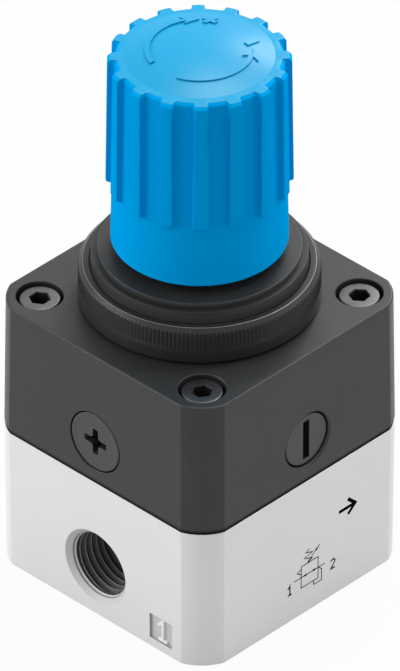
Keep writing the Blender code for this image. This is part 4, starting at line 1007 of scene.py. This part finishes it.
    def cut_plug_wells(self, housing, body):
        cross_height = (CROSS_LOW.z + CROSS_HIGH.z) / 2
        cross_radius = (CROSS_HIGH.z - CROSS_LOW.z) / 2 + 0.25 * MM
        face = housing_face_at(body, cross_height)
        past = face + 0.6 * MM
        soft = 0.1 * MM
        neck, floor, seat = 4.8 * MM, -CROSS_HIGH.x - GAP, face - 3.0 * MM
        well = [(0, floor), (neck, floor), (neck, seat), (cross_radius, seat),
                (cross_radius, face - soft), (cross_radius + soft, face),
                (cross_radius + soft, past), (0, past)]
        carve_turned(housing, well, PLUG_SIDES,
                     Matrix.Translation((0, 0, cross_height)) @ TO_LEFT, "dark casting")
        slot_height = (SLOT_LOW.z + SLOT_HIGH.z) / 2
        slot_radius = (SLOT_HIGH.z - SLOT_LOW.z) / 2 + GAP
        mouth = 0.3 * MM
        floor = -SLOT_HIGH.y - 1.4 * MM
        well = [(0, floor), (slot_radius, floor), (slot_radius, face - mouth),
                (slot_radius + mouth, face), (slot_radius + mouth, past), (0, past)]
        carve_turned(housing, well, PLUG_SIDES,
                     Matrix.Translation((0, 0, slot_height)) @ TO_FRONT, "dark casting")


# Panel nut
class REGULATOR_OT_panel_nut(Operator):
    """Ring nut with a straight knurl above a smooth band"""

    bl_idname = "regulator.panel_nut"
    bl_label = "Panel nut"

    def execute(self, context):
        neck = context.scene.regulator_neck
        low, high = NUT_LOW.z, NUT_HIGH.z
        outer = neck.nut_radius
        inner = neck.radius + GAP
        soft = 0.08 * MM
        knurl_low = low + neck.nut_band
        knurl_high = high - neck.nut_chamfer
        fade_in = 0.8 * MM
        side = [(outer, knurl_low - 0.2 * MM), (outer, knurl_low), (outer, knurl_low + fade_in),
                (outer, knurl_high - 0.4 * MM), (outer, knurl_high)]
        chamfer = [(outer - neck.nut_chamfer * share, knurl_high + neck.nut_chamfer * share)
                   for share in (0.15, 0.3, 0.45)]
        foot, lip = 0.35 * MM, 0.06 * MM
        rim = rounded([
            (inner, low + foot), (inner + foot, low, soft), (outer - foot, low, soft),
            (outer, low + foot, soft), *side, *chamfer,
            (outer - neck.nut_chamfer, high, 0.2 * MM), (inner + lip, high),
            (inner, high - lip)], 4)
        groove = (0.0, 0.6, 1.0, 0.6)
        columns = neck.knurl_count * len(groove)
        loops = []
        for i in range(columns):
            angle = 2 * math.pi * i / columns
            bite = groove[i % len(groove)] * neck.knurl_depth
            loop = []
            for radius, height in rim:
                fade = max(0.0, min(1.0, (height - knurl_low) / fade_in))
                if radius > inner + 0.5 * MM:
                    radius = min(radius, outer - bite * fade)
                loop.append((radius * math.cos(angle), radius * math.sin(angle), height))
            loops.append(loop)
        bm = bmesh.new()
        # The ring of faces at the top edge takes a painted highlight, a lighter metal than the
        # nut.
        for face in add_loft(bm, loops, closed=True):
            middle = face.calc_center_median()
            from_edge = abs(middle.xy.length - (outer - neck.nut_chamfer))
            face.material_index = middle.z > high - 0.05 * MM and from_edge < 0.06 * MM
        nut = solid("panel_ring_nut", bm, finish("black nut"), finish("worn edge"))
        settle(nut, "panel_nut", "nut_black", "panel_nut")
        return {"FINISHED"}


# Knob
FIRST_RIB = math.radians(-45)


def dome_rise(knob, radius):
    share = min(1.0, radius / knob.dome_radius)
    return knob.dome_height * (1 - share ** 2)


def rib_section(knob, base, width, height):
    """Angle and radius of the points over one rib and the valley after it."""
    pitch = 2 * math.pi / knob.rib_count
    slope = 0.12 * MM
    crest = 0.16 * MM
    foot = 0.25 * MM
    half = width / 2
    flank = half - slope
    side = [
        (0.0, 1.0), (half / 2, 1.0), (flank - crest, 1.0), (flank - 0.3 * crest, 0.96),
        (flank, 0.85), (half - slope / 3, 0.3), (half + 0.3 * foot, 0.08), (half + foot, 0.0),
    ]
    angles = [(reach / max(base, knob.dome_radius), share) for reach, share in side]
    for share in (0.7, 0.85):
        angles.append((pitch / 2 * share, 0.0))
    whole = [(-angle, share) for angle, share in reversed(angles[1:])] + angles
    whole.append((pitch / 2, 0.0))
    return [(angle, base + share * height) for angle, share in whole]


def knob_loop(knob, height, base, width, rib):
    pitch = 2 * math.pi / knob.rib_count
    loop = []
    for i in range(knob.rib_count):
        middle = FIRST_RIB + i * pitch
        for angle, radius in rib_section(knob, base, width, rib):
            loop.append((radius * math.cos(middle + angle), radius * math.sin(middle + angle),
                         height))
    return loop


def knob_levels(knob):
    """(height, radius between ribs, rib width, rib height) from the foot to the dome's middle."""
    top = knob.height

    def radius(height):
        return knob.skirt_radius + (knob.top_radius - knob.skirt_radius) * height / top

    def along_rib(height, foot, head):
        share = (height - knob.skirt_height) / (top - knob.skirt_height)
        return foot + (head - foot) * max(0.0, share)

    def width(height):
        return along_rib(height, knob.rib_width, knob.rib_top_width)

    def rib(height):
        return along_rib(height, knob.rib_height, knob.rib_top_height)

    rim = 0.3 * MM
    levels = [(0.0, radius(0) - rim), (0.09 * MM, radius(0) - 0.09 * MM - 0.04 * MM),
              (rim, radius(0))]
    levels = [(height, found, knob.rib_width, 0.0) for height, found in levels]
    foot = knob.skirt_height
    for rise, share in ((-0.3, 0.0), (0.0, 0.0), (0.04, 0.06), (0.34, 0.88), (0.42, 0.97),
                        (0.54, 1.0), (1.0, 1.0)):
        height = foot + rise * MM
        levels.append((height, radius(height), width(height), share * rib(height)))
    edge = knob.edge
    for drop, inset in ((1.6, 0.0), (1.18, 0.0), (1.0, 0.03), (0.88, 0.12), (0.12, 0.88),
                        (0.03, 1.0), (0.0, 1.18)):
        height = top - 0.08 * MM - drop * edge
        levels.append((height, radius(height) - inset * edge, width(height), rib(height)))
    for share in (1.02, 1.007, 0.995, 0.98, 0.95, 0.89, 0.82, 0.74, 0.66, 0.58, 0.5, 0.42, 0.34,
                  0.26, 0.18, 0.1, 0.0):
        found = knob.dome_radius * share
        levels.append((top + dome_rise(knob, found), found, knob.rib_top_width, 0.0))
    return levels


def turning_arrow(side):
    """Edge points of a curved arrow on the dome: its shaft and its two swept barbs."""

    def at(angle, radius):
        turn = math.radians(angle)
        return Vector((math.cos(turn), side * math.sin(turn))) * radius * MM

    steps = 36
    tail, joint, tip = 160.5, 57.0, 44.5
    angles = [tail - i * (tail - joint) / steps for i in range(steps + 1)]
    shaft = [(at(angle, 8.22), at(angle, 9.06)) for angle in angles]
    inner = [(at(64.6, 7.32), at(64.4, 7.38)), (at(joint, 7.62), at(joint, 8.7)),
             (at(tip, 8.5), at(tip, 8.62))]
    outer = [(at(63.4, 10.06), at(63.3, 10.0)), (at(joint, 9.4), at(joint, 8.55)),
             (at(tip, 8.62), at(tip, 8.5))]
    return [shaft, inner, outer]


def marks_on_dome():
    """Edge points of the raised turning arrows, plus and minus, seen from above."""
    long, thin = 1.38 * MM, 0.43 * MM
    step = 0.01 * MM
    plus = Vector((7.1 * MM, 4.5 * MM))
    minus = Vector((7.45 * MM, -4.68 * MM))

    def across(middle, x, half):
        return middle + Vector((x, half)), middle + Vector((x, -half))

    return [
        *turning_arrow(1),
        *turning_arrow(-1),
        [across(plus, -long, thin), across(plus, -thin, thin), across(plus, -thin + step, long),
         across(plus, thin - step, long), across(plus, thin, thin), across(plus, long, thin)],
        [across(minus, -1.3 * MM, 0.48 * MM), across(minus, 1.3 * MM, 0.48 * MM)],
    ]


class REGULATOR_OT_knob(Operator):
    """Ribbed knob with a low dome, raised turning marks and its toothed inside"""

    bl_idname = "regulator.knob"
    bl_label = "Knob"

    def execute(self, context):
        knob = context.scene.regulator_knob
        bm = bmesh.new()
        add_loft(bm, [knob_loop(knob, *level) for level in knob_levels(knob)])
        piece = solid("ribbed_knob", bm, finish("knob plastic"))
        self.add_marks(piece, knob)
        self.cut_inside(piece, knob)
        piece.location = (0, 0, KNOB_LOW.z)
        settle(piece, "knob", "knob_plastic", "adjusting_knob")
        return {"FINISHED"}

    def add_marks(self, piece, knob):
        def low(point):
            return knob.height + dome_rise(knob, point.length) - 0.4 * MM

        def high(point):
            return low(point) + 0.4 * MM + knob.mark_height

        for i, edges in enumerate(marks_on_dome()):
            sunk = 0.012 * MM * (i % 3)
            sections = ridge_sections(edges, lambda point: low(point) - sunk,
                                      lambda point: high(point) - sunk, 0.02 * MM)
            carve_loft(piece, sections, None, "knob plastic", "UNION")

    def cut_inside(self, piece, knob):
        coat = "knob plastic"
        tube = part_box("knob_detent_ring")[1].x - GAP
        bore = tube + 0.6 * MM
        root = tube + 1.1 * MM
        teeth_top = 3.0 * MM
        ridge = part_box("knob_detent_ring")[1].z + GAP - KNOB_LOW.z
        ridge_depth = 0.15 * MM
        step = 0.3 * MM
        roof = knob.height - 1.8 * MM
        hub = 6.4 * MM
        hub_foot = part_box("spindle_clip")[1].z - KNOB_LOW.z + PUSH_TRAVEL + GAP + 0.1 * MM
        carve_turned(piece, [
            (0, teeth_top), (root + 0.15 * MM, teeth_top), (bore, teeth_top + 0.8 * MM),
            (bore, ridge), (bore - ridge_depth, ridge + step),
            (bore - ridge_depth, ridge + 2 * step), (bore, ridge + 3 * step), (bore, roof),
            (hub, roof), (hub, hub_foot), (0, hub_foot),
        ], FINE_SIDES, Matrix(), coat)
        rim = tooth_ring(tube + GAP, root, LOCK_TEETH, 0.58)
        carve_loft(piece, flat_loops(rim, -GAP, teeth_top + GAP), None, coat)
        spindle_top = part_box("adjusting_spindle")[1].z - KNOB_LOW.z
        socket_top = max(roof, spindle_top + PUSH_TRAVEL + GAP)
        carve_loft(piece, flat_loops(hexagon(7.3 * MM), hub_foot - GAP, socket_top), None, coat)


# Screws and plugs
SCREW_TURNS = (30, 8, 5, 2)


class REGULATOR_OT_screws(Operator):
    """Four socket head screws in their counterbores"""

    bl_idname = "regulator.screws"
    bl_label = "Housing screws"

    def execute(self, context):
        fastener = context.scene.regulator_fastener
        radius = fastener.screw_radius
        head = fastener.screw_head
        foot = SCREW_LOW.z - SCREW_HIGH.z
        bm = bmesh.new()
        add_turned(bm, rounded([
            (0, foot), (fastener.screw_thread - 0.3 * MM, foot),
            (fastener.screw_thread, foot + 0.3 * MM), (fastener.screw_thread, -head),
            (radius, -head, 0.1 * MM), (radius, 0.0, 0.35 * MM), (0, 0.0)], 4), PLAIN_SIDES)
        pattern = solid("housing_screw_pattern", bm, finish("dark screw steel"))
        mouth = hexagon(fastener.socket + 0.35 * MM)
        deep = hexagon(fastener.socket)
        # The hexagon socket is painted shade, near black.
        carve_loft(pattern, [*flat_loops(deep, -2.2 * MM, -0.18 * MM),
                             *flat_loops(mouth, 0.01 * MM, 0.3 * MM)], None, "recess black")
        mesh = pattern.data
        bpy.data.objects.remove(pattern)
        for i, (x, y) in enumerate(four_corners(), start=1):
            screw = bpy.data.objects.new(f"socket_screw_{i}", mesh.copy())
            context.scene.collection.objects.link(screw)
            screw.location = (x, y, SCREW_HIGH.z)
            screw.rotation_euler = (0, 0, math.radians(SCREW_TURNS[i - 1]))
            settle(screw, "housing", "screw_steel", f"housing_screw_{i}")
        return {"FINISHED"}


class REGULATOR_OT_plugs(Operator):
    """Blanking plugs with a cross recess and with a slot"""

    bl_idname = "regulator.plugs"
    bl_label = "Blanking plugs"

    def execute(self, context):
        fastener = context.scene.regulator_fastener
        self.make_cross_plug(fastener)
        self.make_slot_plug(fastener)
        return {"FINISHED"}

    def make_cross_plug(self, fastener):
        radius = (CROSS_HIGH.z - CROSS_LOW.z) / 2
        length = CROSS_HIGH.x - CROSS_LOW.x
        bm = bmesh.new()
        add_turned(bm, rounded([
            (0, -length), (4.5 * MM, -length), (4.5 * MM, -1.5 * MM), (radius, -1.5 * MM),
            (radius, 0.0, 0.15 * MM), (radius - 0.75 * MM, 0.0, 0.1 * MM),
            (radius - 0.9 * MM, -0.05 * MM, 0.1 * MM), (0, -0.05 * MM)], 3), PLUG_SIDES)
        plug = solid("cross_plug", bm, finish("plug metal"))
        arm = fastener.cross_arm / 2
        reach = fastener.cross_size / 2
        points = []
        for quarter in range(4):
            turn = Matrix.Rotation(quarter * math.pi / 2, 2)
            for x, y, soft in ((reach, -arm, 0.12 * MM), (reach, arm, 0.12 * MM),
                               (arm * 1.12, arm * 1.12, 0.55 * MM)):
                points.append((*(turn @ Vector((x, y))), soft))
        outline = rounded(points, 3)
        deep = [point * 0.5 for point in outline]
        # The cross recess is painted shade, near black.
        carve_loft(plug, [*flat_loops(deep, -2.4 * MM),
                          *flat_loops(outline, -0.1 * MM, 0.4 * MM)], None, "recess black")
        middle = (CROSS_LOW + CROSS_HIGH) / 2
        plug.matrix_world = Matrix.Translation((CROSS_LOW.x, middle.y, middle.z)) @ TO_LEFT
        settle(plug, "housing", "plug_metal", "cross_recess_plug")

    def make_slot_plug(self, fastener):
        radius = (SLOT_HIGH.z - SLOT_LOW.z) / 2
        length = SLOT_HIGH.y - SLOT_LOW.y
        bm = bmesh.new()
        add_turned(bm, rounded([(0, -length), (radius, -length, 0.3 * MM), (radius, 0.0, 0.2 * MM),
                                (0, 0.0)], 3), PLUG_SIDES)
        plug = solid("slotted_plug", bm, finish("plug metal"))
        x = fastener.slot_width / 2
        y = fastener.slot_length / 2
        slot = [(-x, -y), (x, -y), (x, y), (-x, y)]
        # The slot is painted shade, near black.
        carve_loft(plug, flat_loops(slot, -1.3 * MM, 0.4 * MM), None, "recess black")
        middle = (SLOT_LOW + SLOT_HIGH) / 2
        plug.matrix_world = Matrix.Translation((middle.x, SLOT_LOW.y, middle.z)) @ TO_FRONT
        settle(plug, "housing", "plug_metal", "slot_plug")


# Print on the front of the base
SCHEMATIC_BOX = ((-1.42, 5.77), (2.63, 5.77), (2.63, 10.2), (-1.42, 10.2))
SCHEMATIC_LINES = (
    ((-3.13, 7.95), (4.26, 7.95)),
    ((2.63, 8.1), (3.5, 7.2), (3.5, 4.92), (1.6, 4.92), (1.6, 5.77)),
    ((-1.42, 9.75), (-2.4, 9.25), (-1.42, 8.6)),
    ((-0.1, 10.2), (1.2, 10.75), (-0.7, 11.55), (1.3, 12.0), (-0.3, 12.5), (0.5, 13.0)),
    ((0.1, 10.4), (3.0, 12.6)),
)
SCHEMATIC_HEADS = (
    ((-1.35, 7.95), (-0.15, 8.2), (-0.15, 7.7)),
    ((1.4, 7.7), (2.6, 7.95), (1.4, 8.2)),
    ((1.85, 12.05), (2.15, 11.65), (3.05, 12.6)),
)
SYMBOL_LINE = 0.17
FLOW_ARROW_LINE = 0.66
FLOW_ARROW = (((7.55, 16.68), (11.35, 16.68)), ((9.7, 18.4), (11.5, 16.68), (9.75, 15.2)))


class REGULATOR_OT_print(Operator):
    """Printed flow arrow, valve symbol and port numbers on the front of the base"""

    bl_idname = "regulator.print"
    bl_label = "Printed marks"

    def execute(self, context):
        body = context.scene.regulator_body
        arrow = [(line, FLOW_ARROW_LINE, False) for line in FLOW_ARROW]
        self.make_print("flow_arrow", body, arrow)
        lines = [(SCHEMATIC_BOX, SYMBOL_LINE, True)]
        lines += [(line, SYMBOL_LINE, False) for line in SCHEMATIC_LINES]
        for shape, place in ((DIGIT_ONE, (-4.2, 5.8)), (DIGIT_TWO, (6.2, 5.9))):
            lines += [(line, 0.28, False) for line in digit(shape, 1.85, place)]
        self.make_print("valve_symbol", body, lines, SCHEMATIC_HEADS)
        return {"FINISHED"}

    def make_print(self, name, body, lines, heads=()):
        """Thin ink: lines hold (points, width, closed) in millimetres, heads are filled."""
        bm = bmesh.new()
        for line, width, closed in lines:
            sections = [[(*left, 0), (*right, 0), (*right, 1), (*left, 1)]
                        for left, right in stroke(line, width, closed)]
            add_loft(bm, sections, closed=closed)
        for head in heads:
            add_loft(bm, flat_loops(head, 0, 1))
        for vert in bm.verts:
            x, z, outside = vert.co
            rise = 0.02 * MM if outside else -0.05 * MM
            vert.co = (x * MM, -base_face_at(body, z * MM) - rise, z * MM)
        piece = solid(name, bm, finish("print"))
        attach(piece, "housing")


# Pieces inside, which keep their CAD shape
INSIDE = {
    "brass": ("valve_seat", "valve_guide", "valve_stem", "relief_stud", "relief_stud_nut",
              "spring_nut", "thrust_washer"),
    "plated steel": ("adjusting_spindle", "spring_plate", "diaphragm_plate"),
    "spring steel": ("range_spring", "valve_spring", "spindle_clip", "knob_detent_ring"),
    "black rubber": ("diaphragm", "cross_plug_seal", "slot_plug_seal", "inlet_passage_seal",
                     "outlet_passage_seal", "valve_seat_seal", "valve_disc"),
}


class REGULATOR_OT_inside(Operator):
    """Finishes of the pieces inside, which keep their CAD shape"""

    bl_idname = "regulator.inside"
    bl_label = "Pieces inside"

    def execute(self, context):
        for name, nodes in INSIDE.items():
            for node in nodes:
                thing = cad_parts[node]
                thing.data.materials.clear()
                thing.data.materials.append(finish(name))
        return {"FINISHED"}


# Floor, lamps and camera
LAMP_TARGET = Vector((0, 0, 0.05))
LAMPS = (
    # name, direction, distance, size, power
    ("left softbox", (-0.68, 0.66, 0.41), 0.8, (0.5, 0.6), 3.6),
    ("right softbox", (0.70, -0.70, 0.35), 0.8, (0.4, 0.4), 0.7),
    ("dome softbox", (0.78, 0.30, 0.55), 0.6, (0.17, 0.17), 1.05),
    ("overhead softbox", (0.30, 0.12, 0.95), 0.6, (0.24, 0.24), 1.6),
    ("edge softbox", (0.58, -0.28, 0.76), 0.6, (0.12, 0.12), 0.9),
)


def add_lamp(name, direction, distance, size, power):
    data = bpy.data.lights.new(name, "AREA")
    data.shape = "RECTANGLE"
    data.size, data.size_y = size
    data.energy = power
    lamp = bpy.data.objects.new(name, data)
    way = Vector(direction).normalized()
    lamp.location = LAMP_TARGET + way * distance
    lamp.rotation_euler = way.to_track_quat("Z", "Y").to_euler()
    bpy.context.scene.collection.objects.link(lamp)


def floor_finish():
    """Pale floor that shows white to the camera and keeps a faint shadow."""
    pale = Finish("studio floor", 0.9, specular=0.0)
    pale.fill(pale.shader, {"Base Color": (0.5, 0.5, 0.5, 1.0)})
    glow = pale.add("ShaderNodeEmission", {}, {"Color": (1.0, 1.0, 1.0, 1.0), "Strength": 1.0})
    shader = Socket(pale, pale.shader.outputs["BSDF"])
    mixed = pale.add("ShaderNodeMixShader", {}, {
        0: pale.seen_directly() * 0.95, 1: shader, 2: glow})
    pale.fill(pale.tree.nodes["Material Output"], {"Surface": mixed})
    return pale.material


class REGULATOR_OT_stage(Operator):
    """Pale floor, soft studio lamps, white surroundings and the camera"""

    bl_idname = "regulator.stage"
    bl_label = "Stage"

    def execute(self, context):
        scene = context.scene
        bm = bmesh.new()
        bmesh.ops.create_circle(bm, cap_ends=True, radius=6.0, segments=96)
        mesh = bpy.data.meshes.new("studio_floor")
        bm.to_mesh(mesh)
        bm.free()
        mesh.materials.append(floor_finish())
        floor = bpy.data.objects.new("studio_floor", mesh)
        floor.location = (0, 0, -0.05 * MM)
        scene.collection.objects.link(floor)
        self.light_world(scene)
        for lamp in LAMPS:
            add_lamp(*lamp)
        self.add_camera(scene, scene.regulator_stage)
        scene.view_settings.view_transform = "Standard"
        return {"FINISHED"}

    def light_world(self, scene):
        world = bpy.data.worlds.new("white studio")
        world.use_nodes = True
        scene.world = world
        studio = Graph(world.node_tree)
        level = studio.add("ShaderNodeMapRange", {}, {
            "Value": studio.seen_directly(), "To Min": 0.68, "To Max": 1.0})
        studio.fill(studio.tree.nodes["Background"], {
            "Color": (1.0, 1.0, 1.0, 1.0), "Strength": level})

    def add_camera(self, scene, stage):
        data = bpy.data.cameras.new("camera")
        data.sensor_width = SENSOR
        data.lens = stage.focal / PHOTO_HEIGHT * SENSOR
        data.clip_start = 0.1
        data.clip_end = 50.0
        camera = bpy.data.objects.new("camera", data)
        scene.collection.objects.link(camera)
        turn, rise = stage.azimuth, stage.elevation
        back = Vector((math.sin(turn) * math.cos(rise), -math.cos(turn) * math.cos(rise),
                       math.sin(rise)))
        right = Vector((math.cos(turn), math.sin(turn), 0.0))
        target = Vector((0, 0, stage.target)) + right * stage.aside
        camera.location = target + back * stage.distance
        camera.rotation_euler = back.to_track_quat("Z", "Y").to_euler()
        scene.camera = camera


# Add-on
class REGULATOR_PT_panel(Panel):
    """Steps that build the regulator"""

    bl_idname = "REGULATOR_PT_panel"
    bl_label = "Pressure regulator"
    bl_space_type = "VIEW_3D"
    bl_region_type = "UI"
    bl_category = "Regulator"

    def draw(self, context):
        for step in STEPS:
            self.layout.operator(step.bl_idname)
        for name in GROUPS:
            box = self.layout.box()
            group = getattr(context.scene, name)
            for prop in group.bl_rna.properties:
                if prop.identifier not in ("rna_type", "name"):
                    box.prop(group, prop.identifier)


STEPS = (REGULATOR_OT_base, REGULATOR_OT_upper_housing, REGULATOR_OT_panel_nut, REGULATOR_OT_knob,
         REGULATOR_OT_screws, REGULATOR_OT_plugs, REGULATOR_OT_print, REGULATOR_OT_inside,
         REGULATOR_OT_stage)
GROUPS = {
    "regulator_body": BodySizes,
    "regulator_port": PortSizes,
    "regulator_neck": NeckSizes,
    "regulator_knob": KnobSizes,
    "regulator_fastener": FastenerSizes,
    "regulator_colours": FinishColours,
    "regulator_stage": StageSettings,
}


def register():
    for kind in (*GROUPS.values(), *STEPS, REGULATOR_PT_panel):
        bpy.utils.register_class(kind)
    for name, kind in GROUPS.items():
        setattr(bpy.types.Scene, name, PointerProperty(type=kind))


def unregister():
    for name in GROUPS:
        delattr(bpy.types.Scene, name)
    for kind in (REGULATOR_PT_panel, *reversed(STEPS), *reversed(list(GROUPS.values()))):
        bpy.utils.unregister_class(kind)


def main():
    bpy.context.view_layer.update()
    register()
    bpy.ops.regulator.base()
    bpy.ops.regulator.upper_housing()
    bpy.ops.regulator.panel_nut()
    bpy.ops.regulator.knob()
    bpy.ops.regulator.screws()
    bpy.ops.regulator.plugs()
    bpy.ops.regulator.print()
    bpy.ops.regulator.inside()
    bpy.ops.regulator.stage()


if __name__ == "__main__":
    main()
